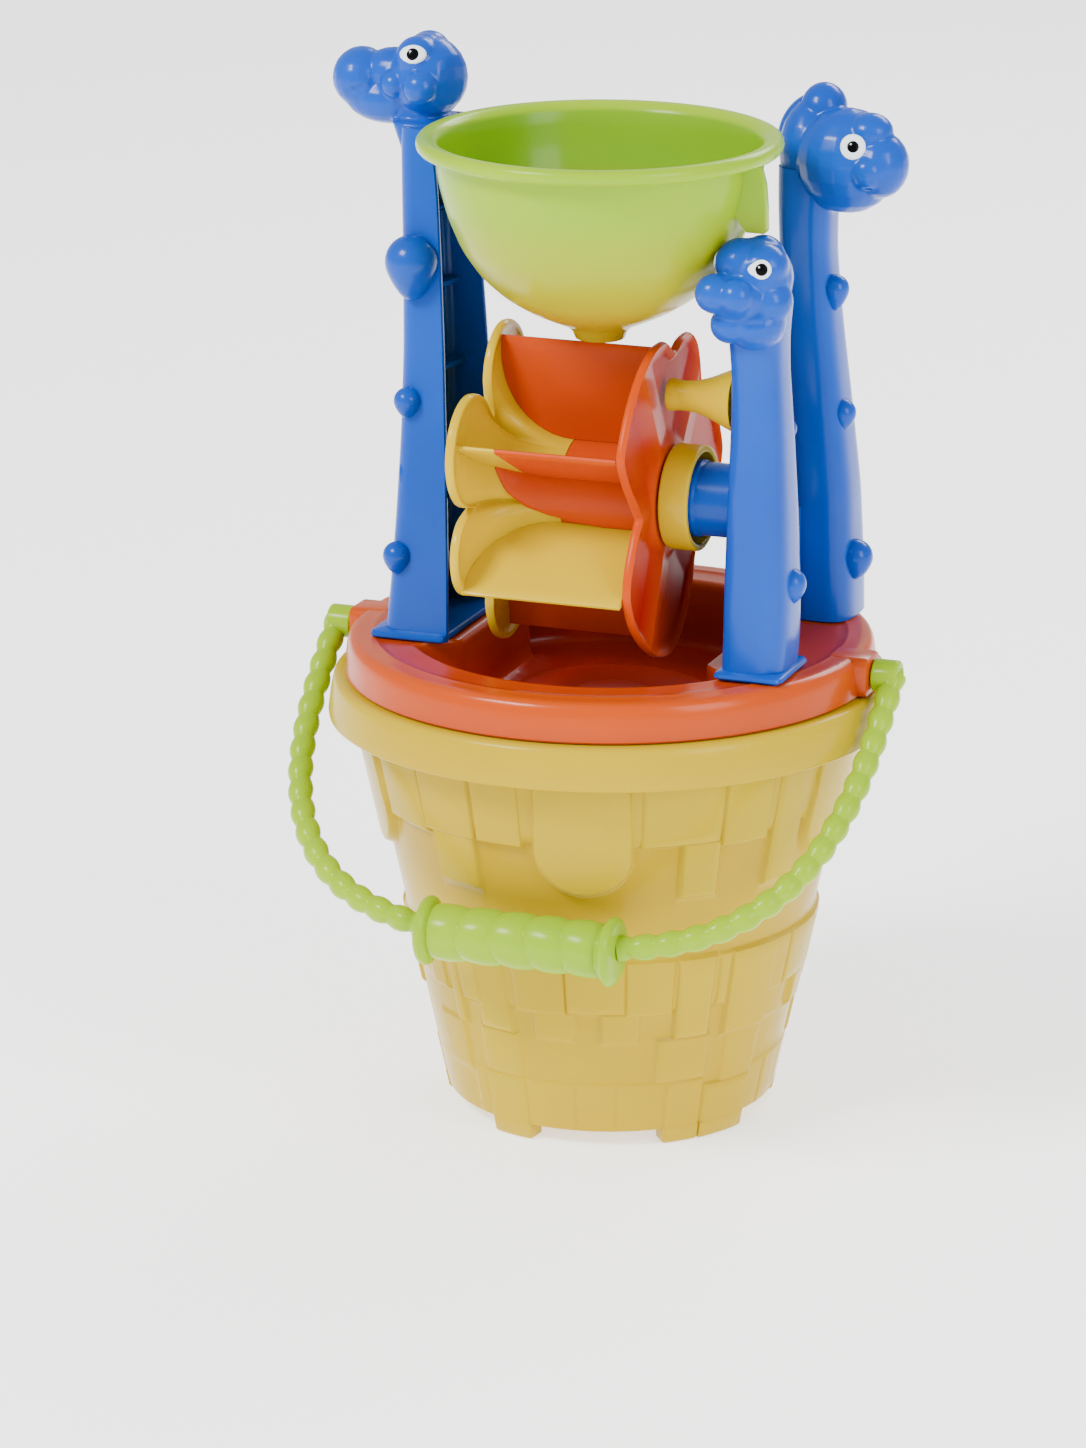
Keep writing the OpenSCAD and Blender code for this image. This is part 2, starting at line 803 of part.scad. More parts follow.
// Bowl outline as [radius, height], a quarter round from the spout up to the lip
bowl_steps = 10;
function bowl_point(s, inset) = [
    mix(spout_r, bowl_r, sin(90 * s)) - inset,
    mix(bowl_low, lip_low, 1 - cos(90 * s))
];

module funnel() {
    outside = [for (i = [0 : bowl_steps]) bowl_point(i / bowl_steps, 0)];
    inside = [for (i = [bowl_steps : -1 : 0]) bowl_point(i / bowl_steps, funnel_wall)];
    color("greenyellow")
        union() {
            translate([funnel_x, axle_y, 0])
                rotate_extrude()
                    polygon(concat(
                        [[spout_r, spout_low]],
                        outside,
                        [[lip_r - lip_t / 3, lip_low], [lip_r, lip_low + lip_t / 3],
                            [lip_r, lip_top - lip_t / 3], [lip_r - lip_t / 3, lip_top],
                            [bowl_r - funnel_wall, lip_top]],
                        inside,
                        [[spout_r - funnel_wall, spout_low]]
                    ));
            translate([rib_start, front_y - lug_t / 2, head_top_z + seat_gap])
                cube([lug_x + lug_t - rib_start, lug_t, lip_low + lip_t / 3 - head_top_z - seat_gap]);
        }
}

// The bail hangs in a plane through its axis: a place along X and a distance down that plane
module in_bail_plane() {
    translate([0, 0, pivot_z])
        rotate([-bail_angle, 0, 0])
            children();
}

function arm_x(s) = arm_reach * pow(1 - pow(s, arm_power), 1 / arm_power);
// Share of the bail's length at which an arm meets the grip
arm_end_share = pow(1 - pow(grip_half / arm_reach, arm_power), 1 / arm_power);
function arm_place(u) = let (s = arm_end_share * sin(90 * u)) [arm_x(s), 0, -s * bail_l];
// Length along the arm at each of many places, so that the beads can be spaced evenly
arm_steps = 60;
function arm_length(i) = i == 0 ? 0 :
    arm_length(i - 1) + norm(arm_place(i / arm_steps) - arm_place((i - 1) / arm_steps));
arm_lengths = [for (i = [0 : arm_steps]) [arm_length(i), i / arm_steps]];
function arm_point(i) = arm_place(lookup(arm_length(arm_steps) * i / bead_count, arm_lengths));

// A bead and the straight piece of arm from it to the next point of the bail's plane, on one axis
module arm_link(i) {
    from = arm_point(i);
    d = arm_point(i + 1) - from;
    translate(from)
        rotate([0, acos(d[2] / norm(d)), atan2(d[1], d[0])]) {
            cylinder(r = arm_r, h = norm(d));
            sphere(r = bead_r);
        }
}

module handle_arm(side) {
    color("greenyellow")
        mirror([side < 0 ? 1 : 0, 0, 0])
            in_bail_plane() {
                for (i = [0 : bead_count - 1])
                    arm_link(i);
                rod_x(arm_boss_r, arm_boss_in, arm_reach + bead_r / 2, 0, 0);
                rod_x(pivot_r, ear_face - ear_w / 2 + seat_gap, arm_reach, 0, 0);
            }
}

module handle_arm_left() { handle_arm(-1); }
module handle_arm_right() { handle_arm(1); }

module handle_grip() {
    color("greenyellow")
        in_bail_plane()
            difference() {
                union() {
                    rod_x(grip_r, -grip_half, grip_half, 0, -bail_l);
                    for (side = [0, 1])
                        mirror([side, 0, 0])
                            rod_x(flange_r, grip_half - flange_t, grip_half, 0, -bail_l);
                }
                for (side = [0, 1])
                    mirror([side, 0, 0])
                        arm_link(bead_count - 1);
            }
}

bucket();
tray();
left_support();
right_front_support();
right_rear_support();
guide_post();
eye_whites();
eye_pupils();
wheel_left_disc();
wheel_right_disc();
retaining_cup();
wheel_axle();
paddle_1();
paddle_2();
paddle_3();
paddle_4();
paddle_5();
paddle_6();
funnel();
handle_arm_left();
handle_arm_right();
handle_grip();
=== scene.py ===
# %% [markdown]
# # A sand wheel toy, dressed for its portrait
# The toy is a castle bucket with a catch tray on top, three blue supports shaped like long necks with
# heads, a paddle wheel between them, a funnel above and a rope-like bail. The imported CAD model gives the
# frame: every piece here is made in the same coordinates and moves with one of its bodies.

# %% Load the frame
from math import copysign, cos, pi, radians, sin, sqrt

import bmesh
import bpy
import numpy as np
from mathutils import Matrix, Vector
from mathutils.bvhtree import BVHTree


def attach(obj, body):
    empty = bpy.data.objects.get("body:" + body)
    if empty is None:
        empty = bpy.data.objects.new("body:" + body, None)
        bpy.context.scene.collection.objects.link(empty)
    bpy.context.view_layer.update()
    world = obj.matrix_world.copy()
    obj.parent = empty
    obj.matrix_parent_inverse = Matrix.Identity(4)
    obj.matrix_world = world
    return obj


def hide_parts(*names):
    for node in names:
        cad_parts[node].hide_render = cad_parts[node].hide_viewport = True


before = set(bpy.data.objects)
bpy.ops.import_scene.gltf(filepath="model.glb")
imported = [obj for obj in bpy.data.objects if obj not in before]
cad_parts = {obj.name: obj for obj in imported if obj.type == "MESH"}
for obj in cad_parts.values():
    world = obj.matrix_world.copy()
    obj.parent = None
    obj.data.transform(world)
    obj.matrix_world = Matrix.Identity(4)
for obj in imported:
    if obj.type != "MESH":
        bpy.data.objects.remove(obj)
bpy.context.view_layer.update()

# %% [markdown]
# ## Small tools for making meshes
# Moulded plastic has few flat faces, so nearly everything here is a stack of rings: a lathe, a tube, a
# channel and a bowl are all rows of points joined by four-sided faces. One function turns such rows into
# a mesh, and another gives the mesh its name, its body, its finish and the CAD nodes that it stands for.
# All the numbers are in millimetres, as in the CAD source, and are turned into metres in one place.

# %% Rows of points to a mesh
MM = 0.001


def joined_rows(rows, around=True, cap_first=False, cap_last=False, loop=False):
    """Points and faces of rows of equal length: around closes each row, loop joins the last row to the first."""
    rows = np.asarray(rows, float)
    count, width = rows.shape[:2]
    cols = np.arange(width if around else width - 1)
    faces = []
    for row in range(count if loop else count - 1):
        here, there = row * width, (row + 1) % count * width
        nxt = (cols + 1) % width
        faces += np.stack([here + cols, here + nxt, there + nxt, there + cols], axis=1).tolist()
    points = rows.reshape(-1, 3).tolist()
    for wanted, row, flip in ((cap_first, 0, True), (cap_last, count - 1, False)):
        if wanted:
            points.append(rows[row].mean(axis=0).tolist())
            tip = len(points) - 1
            ring = row * width + np.arange(width)
            nxt = np.roll(ring, -1)
            faces += [[int(b), int(a), tip] if flip else [int(a), int(b), tip] for a, b in zip(ring, nxt)]
    return points, faces


def capped(rows):
    """Rows joined into a closed skin, with both ends filled."""
    return joined_rows(rows, cap_first=True, cap_last=True)


def merged(*parts):
    """Several (points, faces) as one."""
    points, faces = [], []
    for more, their_faces in parts:
        start = len(points)
        points += [list(p) for p in more]
        faces += [[start + i for i in face] for face in their_faces]
    return points, faces


def new_mesh(name, part):
    points, faces = part
    mesh = bpy.data.meshes.new(name)
    mesh.from_pydata((np.asarray(points, float) * MM).tolist(), [], faces)
    mesh.validate()
    mesh.polygons.foreach_set("use_smooth", [True] * len(mesh.polygons))
    mesh.update()
    return mesh


def outward(mesh):
    """Turns the faces so that they all look outwards."""
    work = bmesh.new()
    work.from_mesh(mesh)
    bmesh.ops.recalc_face_normals(work, faces=work.faces)
    work.to_mesh(mesh)
    work.free()


def piece(name, part, body, finish, stands_for=(), sharp=38, depth=None):
    """An object of the toy: its mesh, material, body and the CAD nodes that it replaces."""
    mesh = part if isinstance(part, bpy.types.Mesh) else new_mesh(name, part)
    outward(mesh)
    if sharp:
        mesh.set_sharp_from_angle(angle=radians(sharp))
    if depth is not None:
        # The value given for each point paints shade into the finish's colour, darker where it is higher.
        layer = mesh.attributes.new("depth", "FLOAT", "POINT")
        layer.data.foreach_set("value", np.asarray(depth, np.float32))
    mesh.materials.append(finish)
    thing = bpy.data.objects.new(name, mesh)
    bpy.context.scene.collection.objects.link(thing)
    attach(thing, body)
    if stands_for:
        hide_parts(*stands_for)
    print(f"{name}: {len(mesh.vertices)} points, {len(mesh.polygons)} faces")
    return thing


def full_turn(count):
    """Angles once round, evenly spaced."""
    return np.linspace(0, 2 * np.pi, count, endpoint=False)


def level_ring(radius, z, turns):
    """A level ring about the Z axis. Turns start at the front, and the radius may change with them."""
    radius = np.broadcast_to(radius, turns.shape)
    return np.stack([radius * np.sin(turns), -radius * np.cos(turns), np.broadcast_to(z, turns.shape)], axis=1)


def evened(edge, width):
    """A closed line of values, each evened out over width neighbours."""
    kernel, half = np.hanning(width) / np.hanning(width).sum(), width // 2
    return np.convolve(np.concatenate([edge[-half:], edge, edge[:half]]), kernel, "valid")


def mirrored(part):
    """The same part on the other side of X = 0."""
    points, faces = part
    return [(-x, y, z) for x, y, z in points], faces


def smooth_step(x):
    t = np.clip(x, 0.0, 1.0)
    return t * t * (3 - 2 * t)


# %% Lathes
def turned(profile, centre, along="x", count=96):
    """Rows of a lathe. The profile is (radius, place along the axis)."""
    angle = full_turn(count)
    rows = []
    for radius, place in profile:
        r = np.full(count, float(radius))
        if along == "x":
            ring = [np.full(count, place), centre[0] - r * np.sin(angle), centre[1] + r * np.cos(angle)]
        else:
            ring = [centre[0] + r * np.sin(angle), centre[1] - r * np.cos(angle), np.full(count, place)]
        rows.append(np.stack(ring, axis=1))
    return rows


def round_corner(corner, before, after, radius, steps=4):
    """Points that round the corner of a profile between two neighbours."""
    c, b, a = (np.array(p, float) for p in (corner, before, after))
    u, v = (b - c) / np.linalg.norm(b - c), (a - c) / np.linalg.norm(a - c)
    reach = min(radius, 0.48 * np.linalg.norm(b - c), 0.48 * np.linalg.norm(a - c))
    start, end = c + u * reach, c + v * reach
    out = []
    for t in np.linspace(0, 1, steps + 1):
        out.append(tuple((1 - t) ** 2 * start + 2 * t * (1 - t) * c + t * t * end))
    return out


def soft_profile(points, radius=0.8, closed=True):
    """A profile with every corner rounded. An open one keeps its two ends."""
    out = []
    last = len(points) - 1
    for i, point in enumerate(points):
        if not closed and i in (0, last):
            out.append(tuple(point))
        else:
            out += round_corner(point, points[i - 1], points[(i + 1) % (last + 1)], radius)
    return out


# %% [markdown]
# ## The plastic
# The toy is injection moulded from a few coloured plastics with a high gloss. Real mouldings are never one
# flat colour: the tone drifts where the walls are thicker, the gloss has faint smears from handling, and the
# skin has shallow sink marks and a very fine grain. One shader node group makes these four effects from
# noise, and each material uses it with its own colours. The group also paints shade into hollows, deeper
# and warmer, where a value carried by the mesh marks them.

# %% A node with its values and links in one call
def new_node(tree, kind, sockets=(), **settings):
    """Sets each socket, by name or number, to a value, or links it from another node's output."""
    node = tree.nodes.new(kind)
    for key, value in settings.items():
        setattr(node, key, value)
    fill(tree, node, sockets)
    return node


def fill(tree, node, sockets):
    for key, value in dict(sockets).items():
        if isinstance(value, bpy.types.NodeSocket):
            tree.links.new(value, node.inputs[key])
        else:
            node.inputs[key].default_value = value


# %% The moulded skin, shared by all the plastics
def moulded_skin():
    group = bpy.data.node_groups.new("moulded skin", "ShaderNodeTree")
    for name, value in (("Colour", (0.8, 0.8, 0.8, 1)), ("Deep Colour", (0.5, 0.5, 0.5, 1)), ("Tone", 0.3),
                        ("Tone Scale", 14), ("Roughness", 0.2), ("Smears", 0.1), ("Sink Marks", 0.1),
                        ("Grain", 0.05)):
        kind = "NodeSocketColor" if "Colour" in name else "NodeSocketFloat"
        group.interface.new_socket(name=name, in_out="INPUT", socket_type=kind).default_value = value
    for name, kind in (("Colour", "Color"), ("Roughness", "Float"), ("Normal", "Vector")):
        group.interface.new_socket(name=name, in_out="OUTPUT", socket_type="NodeSocket" + kind)
    given = new_node(group, "NodeGroupInput").outputs
    place = new_node(group, "ShaderNodeTexCoord").outputs["Object"]

    def noise(scale, detail, distortion=0.0):
        return new_node(group, "ShaderNodeTexNoise", {"Vector": place, "Scale": scale, "Detail": detail,
                                                      "Distortion": distortion}).outputs["Fac"]

    def maths(operation, *values, clamp=False):
        return new_node(group, "ShaderNodeMath", enumerate(values), operation=operation, use_clamp=clamp).outputs[0]

    # Colour: it drifts towards the deep one in wide patches, and painted shade pulls it there where the mesh marks a
    # place as hollow
    spread = new_node(group, "ShaderNodeMapRange",
                      {"Value": noise(given["Tone Scale"], 2), "From Min": 0.38, "From Max": 0.66})
    painted_hollow_shade = new_node(group, "ShaderNodeAttribute", attribute_name="depth").outputs["Fac"]
    both = maths("ADD", maths("MULTIPLY", spread.outputs["Result"], given["Tone"]), painted_hollow_shade, clamp=True)
    tint = new_node(group, "ShaderNodeMix", {"Factor": both, 6: given["Colour"], 7: given["Deep Colour"]},
                    data_type="RGBA")

    # Gloss: faint smears, more of them to a rougher finish
    smear = maths("SUBTRACT", noise(38, 5, 0.6), 0.45)
    gloss = maths("MULTIPLY_ADD", smear, given["Smears"], given["Roughness"], clamp=True)

    # Relief: shallow sink marks, and a very fine grain over them
    sink = new_node(group, "ShaderNodeBump", {"Distance": 0.002, "Strength": given["Sink Marks"],
                                              "Height": noise(55, 1)})
    grain = new_node(group, "ShaderNodeBump", {"Distance": 0.0001, "Strength": given["Grain"],
                                               "Height": noise(900, 2),
                                               "Normal": sink.outputs["Normal"]})
    new_node(group, "NodeGroupOutput", {"Colour": tint.outputs[2], "Roughness": gloss,
                                        "Normal": grain.outputs["Normal"]})
    return group


SKIN = moulded_skin()


def plastic(name, colour, deep, tone=0.25, roughness=0.22, coat=0.04, gloss=0.16, glow=0.05,
            glow_colour=(1.0, 0.4, 0.1)):
    """One coloured plastic, in linear colour values: the shared skin in front of a glossy shader."""
    material = bpy.data.materials.new(name)
    material.use_nodes = True
    tree = material.node_tree
    skin = new_node(tree, "ShaderNodeGroup", node_tree=SKIN)
    fill(tree, skin, {"Colour": (*colour, 1), "Deep Colour": (*deep, 1), "Tone": tone, "Tone Scale": 14,
                      "Roughness": roughness, "Smears": 0.12, "Sink Marks": 0.12, "Grain": 0.06})
    fill(tree, tree.nodes["Principled BSDF"], {
        "Base Color": skin.outputs["Colour"], "Roughness": skin.outputs["Roughness"],
        "Normal": skin.outputs["Normal"], "IOR": 1.5, "Specular IOR Level": gloss, "Coat Weight": coat,
        "Coat Roughness": 0.06, "Subsurface Weight": glow, "Subsurface Radius": glow_colour,
        "Subsurface Scale": 0.004})
    return material


# %% The finishes
# Each finish's second colour serves both its random deeper tone and the painted shade in its hollows.
YELLOW = plastic("castle yellow", (0.46, 0.322, 0), (0.41, 0.235, 0), tone=0.3, gloss=0.1, coat=0.02)
ORANGE = plastic("tray orange", (0.45, 0.054, 0), (0.30, 0.008, 0), tone=0.15)
BLUE = plastic("support blue", (0, 0.060, 0.40), (0, 0.031, 0.27), tone=0.35, glow_colour=(0.1, 0.4, 1.0))
WHEEL_ORANGE = plastic("wheel orange", (0.48, 0.052, 0), (0.32, 0.006, 0), tone=0.3, roughness=0.3, gloss=0.08,
                       coat=0.01)
WHEEL_YELLOW = plastic("wheel yellow", (0.54, 0.37, 0), (0.48, 0.26, 0), tone=0.35, gloss=0.12)
EYE_WHITE = plastic("eye white", (0.80, 0.86, 0.90), (0.68, 0.76, 0.84), tone=0.2, roughness=0.25)
EYE_BLACK = plastic("eye black", (0.0015, 0.0015, 0.002), (0.004, 0.004, 0.005), tone=0.5, roughness=0.14,
                    gloss=0.05, coat=0)
AXLE_WHITE = plastic("axle white", (0.70, 0.70, 0.67), (0.58, 0.58, 0.55), tone=0.3, roughness=0.3)
# The funnel's lime is the same plastic as the rope's, with painted bounce light added to it below.
LIME, FUNNEL_LIME_PAINTED_BOUNCE = (plastic(name, (0.26, 0.42, 0), (0.13, 0.31, 0), gloss=0.12, glow=0.08,
                             glow_colour=(0.6, 1.0, 0.1))
                     for name in ("lime", "funnel lime painted bounce"))
print("finishes:", [finish.name for finish in bpy.data.materials])


# %% Painted bounce light: the bowl's underside is painted yellower, for the light that the orange and yellow pieces below it throw up
def paint_bounce_light_low(material, bounce_colour, full_at, none_at):
    """Paints bounce light into a finish: a warmer colour mixed in, more of it the lower it is, between two heights in
    metres.
    """
    tree = material.node_tree
    base = tree.nodes["Principled BSDF"].inputs["Base Color"]
    place = new_node(tree, "ShaderNodeTexCoord").outputs["Object"]
    height = new_node(tree, "ShaderNodeSeparateXYZ", {0: place}).outputs["Z"]
    share = new_node(tree, "ShaderNodeMapRange", {"Value": height, "From Min": full_at, "From Max": none_at,
                                                  "To Min": 0.85, "To Max": 0.0}).outputs["Result"]
    mix = new_node(tree, "ShaderNodeMix", {"Factor": share, 6: base.links[0].from_socket, 7: (*bounce_colour, 1)},
                   data_type="RGBA")
    tree.links.new(mix.outputs[2], base)


# The funnel's lower bowl gets painted bounce light, yellow from the wheel and bucket below.
paint_bounce_light_low(FUNNEL_LIME_PAINTED_BOUNCE, (0.42, 0.27, 0), 0.296, 0.336)

# %% [markdown]
# ## The bucket
# The bucket turns out a castle of sand, so its wall carries the castle's outside: stepped tiers with
# battlements, tall doors with round ends and a row of bricks above the feet. It could be cut with
# booleans, but a height field is steadier: one grid of azimuth and height lines wraps the wall, with
# lines set close on both sides of every block's edge, and each point moves out by the tallest block
# that covers it. Rim, inside and feet follow the same rings.

# %% The castle relief, as blocks of (from azimuth, to azimuth, low, high, how far out)
WALL_FOOT, FOOT_R, WALL_SLOPE = 6.0, 58.0, 0.21765
DOOR_TURN, DOOR_SPAN, DOOR_LOW, DOOR_OUT = 13.35, 23.7, 100.6, 3.4
RELIEF_TOP, REPEAT = 149.0, 72.0


def wall_radius(z):
    return FOOT_R + WALL_SLOPE * (z - WALL_FOOT)


# Azimuths are in degrees from the front, towards the right
PLAIN_FIELD = [
    (-45.2, -29.2, 116, 149, 2.7), (-29.2, -13.6, 117.5, 149, 3.1), (-27.5, -14.5, 98.5, 120, 2.5),
    (-13.6, -1.3, 117.5, 149.0, 2.8),
    (-44, -34.5, 53, 74, 2), (-33.5, -28.8, 42, 74, 1.5),
    (-28, -20.3, 52, 74, 2.1), (-22, -11, 42.8, 74, 1.6), (-23.5, -9.1, 25, 42.8, 1),
    (-45, -31, 22, 42, 0.9), (-31, -24.6, 6, 25, 0.6),
    (-24.6, -8.8, 0.0, 25.0, 1.3),
]
RIGHT_FIELD = [
    (26.9, 46.5, 119, 149, 2.8), (46.5, 59.6, 117, 149, 3.1), (37, 46.9, 98.5, 120, 2.6),
    (61.2, 70.6, 98.5, 149.0, 2.9),
    (-8.8, 7, 52.6, 74, 2.1), (7, 24, 53.4, 74, 2.2), (24, 38, 52.6, 74, 2),
    (-3.5, 9.1, 42, 54, 1.6), (16.8, 28.5, 41.5, 54, 1.7),
    (38.9, 50, 42.5, 74, 2.4), (51.2, 55.2, 53.5, 74, 1.8), (55.4, 72.4, 41, 74, 2.3),
    (34, 51.2, 25, 42.5, 1.3), (57.5, 72.4, 17, 41, 1),
    (-9, 8.2, 6, 25, 0.7), (8.5, 21.5, 6, 25.5, 0.8), (21.8, 38, 6, 25, 0.7),
    (38.1, 51.4, 0, 25, 1.2), (51.7, 71.8, 0, 22, 1.5),
]
BANDS = [(-180, 180, 119.5, RELIEF_TOP, 1.8), (-180, 180, 54, 74, 1.1), (-180, 180, 6, 24, 0.2)]
BLOCKS = BANDS + PLAIN_FIELD + RIGHT_FIELD + [
    (a + turn, b + turn, low, high, out)
    for turn in (REPEAT, 2 * REPEAT, 3 * REPEAT)
    for a, b, low, high, out in RIGHT_FIELD
]
DOORS = [DOOR_TURN + REPEAT * k for k in range(5)]
SEAMS = (40.4, 19.0, -37.0)
SOFT_EDGE = 1.15


def relief_height(azimuth, z):
    """How far the wall stands out at each azimuth (degrees) and height."""
    per_degree = np.radians(1) * wall_radius(z)
    height = np.zeros_like(z)

    def off(centre):
        return (azimuth - centre + 180) % 360 - 180

    def raise_to(out, inside):
        return np.maximum(height, out * smooth_step(inside / (2 * SOFT_EDGE) + 0.5))

    for a, b, low, high, out in BLOCKS:
        inside = ((b - a) / 2 - np.abs(off((a + b) / 2))) * per_degree
        height = raise_to(out, np.minimum(inside, np.minimum(z - low, high - z)))
    half_door = DOOR_SPAN / 2 * np.radians(1) * wall_radius(118.0)
    round_z = DOOR_LOW + half_door
    for centre in DOORS:
        side = off(centre) * per_degree
        inside = np.where(z > round_z, half_door - np.abs(side), half_door - np.hypot(side, z - round_z))
        height = raise_to(DOOR_OUT, np.minimum(inside, RELIEF_TOP - z))
    for centre in SEAMS:
        height -= 0.3 * smooth_step(1 - np.abs(off(centre) * per_degree) / 0.7) * smooth_step((z - 123) / 2)
    return height


# %% Grid lines, close together at every edge
def grid_lines(edges, low, high, step, near):
    lines = set(np.round(np.arange(low, high, step), 3))
    for edge in edges:
        for shift in (-near, -near / 2, 0, near / 2, near):
            if low <= edge + shift <= high:
                lines.add(round(edge + shift, 3))
    lines = sorted(lines)
    kept = [lines[0]]
    for value in lines[1:]:
        if value - kept[-1] > near * 0.3:
            kept.append(value)
    return np.array(kept)


azimuth_edges = sorted({round((edge + 360) % 360, 2) for block in BLOCKS[len(BANDS):] for edge in block[:2]})
azimuth_lines = list(grid_lines(azimuth_edges, 0.0, 359.6, 1.4, 0.32))
for door in DOORS:
    azimuth_lines += [(door + t) % 360 for t in np.arange(-12.4, 12.5, 0.55)]
azimuth_lines = np.array(sorted(azimuth_lines))
azimuth_lines = azimuth_lines[np.append(np.diff(azimuth_lines) > 0.12, True)]
height_lines = np.unique(np.concatenate([
    grid_lines(sorted({block[2] for block in BLOCKS if block[2] > 7} | {74, 149}), WALL_FOOT, 150, 3, 0.42),
    np.arange(99.4, 119.0, 0.65), [150.0]]))
print("bucket grid:", len(azimuth_lines), "by", len(height_lines))


# %% The bucket's rings, from the middle of the floor's underside out and up, over the rim and down inside
def stack_of_rings(turns):
    """Rows, their painted shade for the finish's hollows, and a function that adds one level to both."""
    rows, deep = [], []

    def add(radius, z, depth=0.0):
        rows.append(level_ring(radius, z, turns))
        deep.append(np.broadcast_to(np.asarray(depth, float), turns.shape))

    return rows, deep, add


def bucket_rows():
    rows, deep, add = stack_of_rings(np.radians(azimuth_lines))
    for r in (4, 30, 50, 56.6):
        add(r, WALL_FOOT)
    # The third value of a level is painted shade: the wall between the blocks is painted darker, more so higher up,
    # and so are the rim's inner and lower faces and the inside.
    for z in height_lines:
        out = relief_height(azimuth_lines, np.full(len(azimuth_lines), z))
        add(wall_radius(z) + out, z, 0.45 * np.clip(1 - out / 2.2, 0, 1) * (0.4 + 0.6 * smooth_step((z - 60) / 50)))
    for level in ((90.4, 153.5, 0.6), (90.6, 156.2, 0.8), (93.2, 156.7, 0.8), (95.0, 155.6, 0.8), (97.4, 146.0, 0.4),
                  (97.6, 144.5, 0.2), (98.2, 144.05), (99.2, 144), (99.85, 144.5), (100, 145.6), (99.6, 149),
                  (99, 153), (98.3, 156.5), (97.8, 158), (96.8, 158.85), (95.4, 159), (92, 159, 0.1),
                  (90.2, 158.9, 0.1), (89.2, 158.2, 0.2), (88.8, 156.5, 0.3)):
        add(*level)
    for z in (140, 120, 95, 70, 45, 25, 14):
        add(wall_radius(z) - 2.6, z, 0.5)
    for r, z in ((57, 10.5), (55.8, 9), (53.5, 8.4), (30, 8.4), (4, 8.4)):
        add(r, z, 0.6)
    return rows, np.concatenate(deep)


def foot(azimuth_from, azimuth_to, out):
    """A foot: a curved block under the wall, with softened corners."""
    rows = []
    for z, shrink in ((0, 1.4), (0.25, 0.6), (1, 0), (6.6, 0)):
        edge_in, edge_out = 51.0 + shrink, wall_radius(z) + out - shrink
        span = (azimuth_to - azimuth_from) / 2 - np.degrees(shrink / 58)
        middle = (azimuth_from + azimuth_to) / 2
        corner = [(edge_out - 0.9, 1.0), (edge_out - 0.2, 0.985)]
        path = [(edge_in, t) for t in np.linspace(-1, 1, 12)] + corner
        path += [(edge_out, t) for t in np.linspace(0.96, -0.96, 14)] + [(r, -t) for r, t in corner[::-1]]
        reach, turn = np.array(path).T
        rows.append(level_ring(reach, z, np.radians(middle + turn * span)))
    return capped(rows)


rows, bucket_depth = bucket_rows()
feet_spans = [(-24.6, -8.8, 1.3)] + [(a + REPEAT * k, b + REPEAT * k, out) for k in range(4)
                                     for a, b, out in ((38.1, 51.4, 1.2), (51.7, 71.8, 1.5))]
bucket_part = merged(capped(rows), *[foot(*span) for span in feet_spans])
depth = np.zeros(len(bucket_part[0]))
depth[:len(bucket_depth)] = bucket_depth
piece("castle_bucket", bucket_part, "bucket", YELLOW, ["bucket"], depth=depth)

# %% [markdown]
# ## The catch tray
# The tray drops into the bucket's mouth. It is a thick ring with a basin in the middle, and the basin is
# narrower between the supports, where two rounded lands carry them. The basin's outline is a circle cut by
# two rounded rectangles, so its edge is found for every direction from the middle, and the whole tray is
# one loft whose rows run from the underside, round the skirt and the ring, and down into the basin.

# %% Edge of the basin in every direction
BASIN_R, BASIN_HALF, LAND_ROUND = 70, 45, 9
TRAY_TURNS = full_turn(720)


def basin_edge(grow):
    """Distance from the middle to the basin's edge, for each direction."""
    direction = np.stack([np.sin(TRAY_TURNS), -np.cos(TRAY_TURNS)], axis=1)
    reach = np.linspace(30, BASIN_R + grow, 900)
    x = np.abs(direction[:, :1] * reach)
    y = direction[:, 1:] * reach
    left, low, high = BASIN_HALF + grow, -35.0, 44.0
    dx = (left + LAND_ROUND) - x
    dy = np.maximum(np.maximum(low + LAND_ROUND - y, y - (high - LAND_ROUND)), 0)
    in_land = (np.hypot(np.maximum(dx, 0), dy) < LAND_ROUND) & (y > low) & (y < high)
    first = np.where(in_land.any(axis=1), in_land.argmax(axis=1), len(reach) - 1)
    return evened(reach[first], 7)


edge_top, edge_under = basin_edge(0.0), basin_edge(2.2)
print("basin edge from", round(edge_top.min(), 1), "to", round(edge_top.max(), 1))


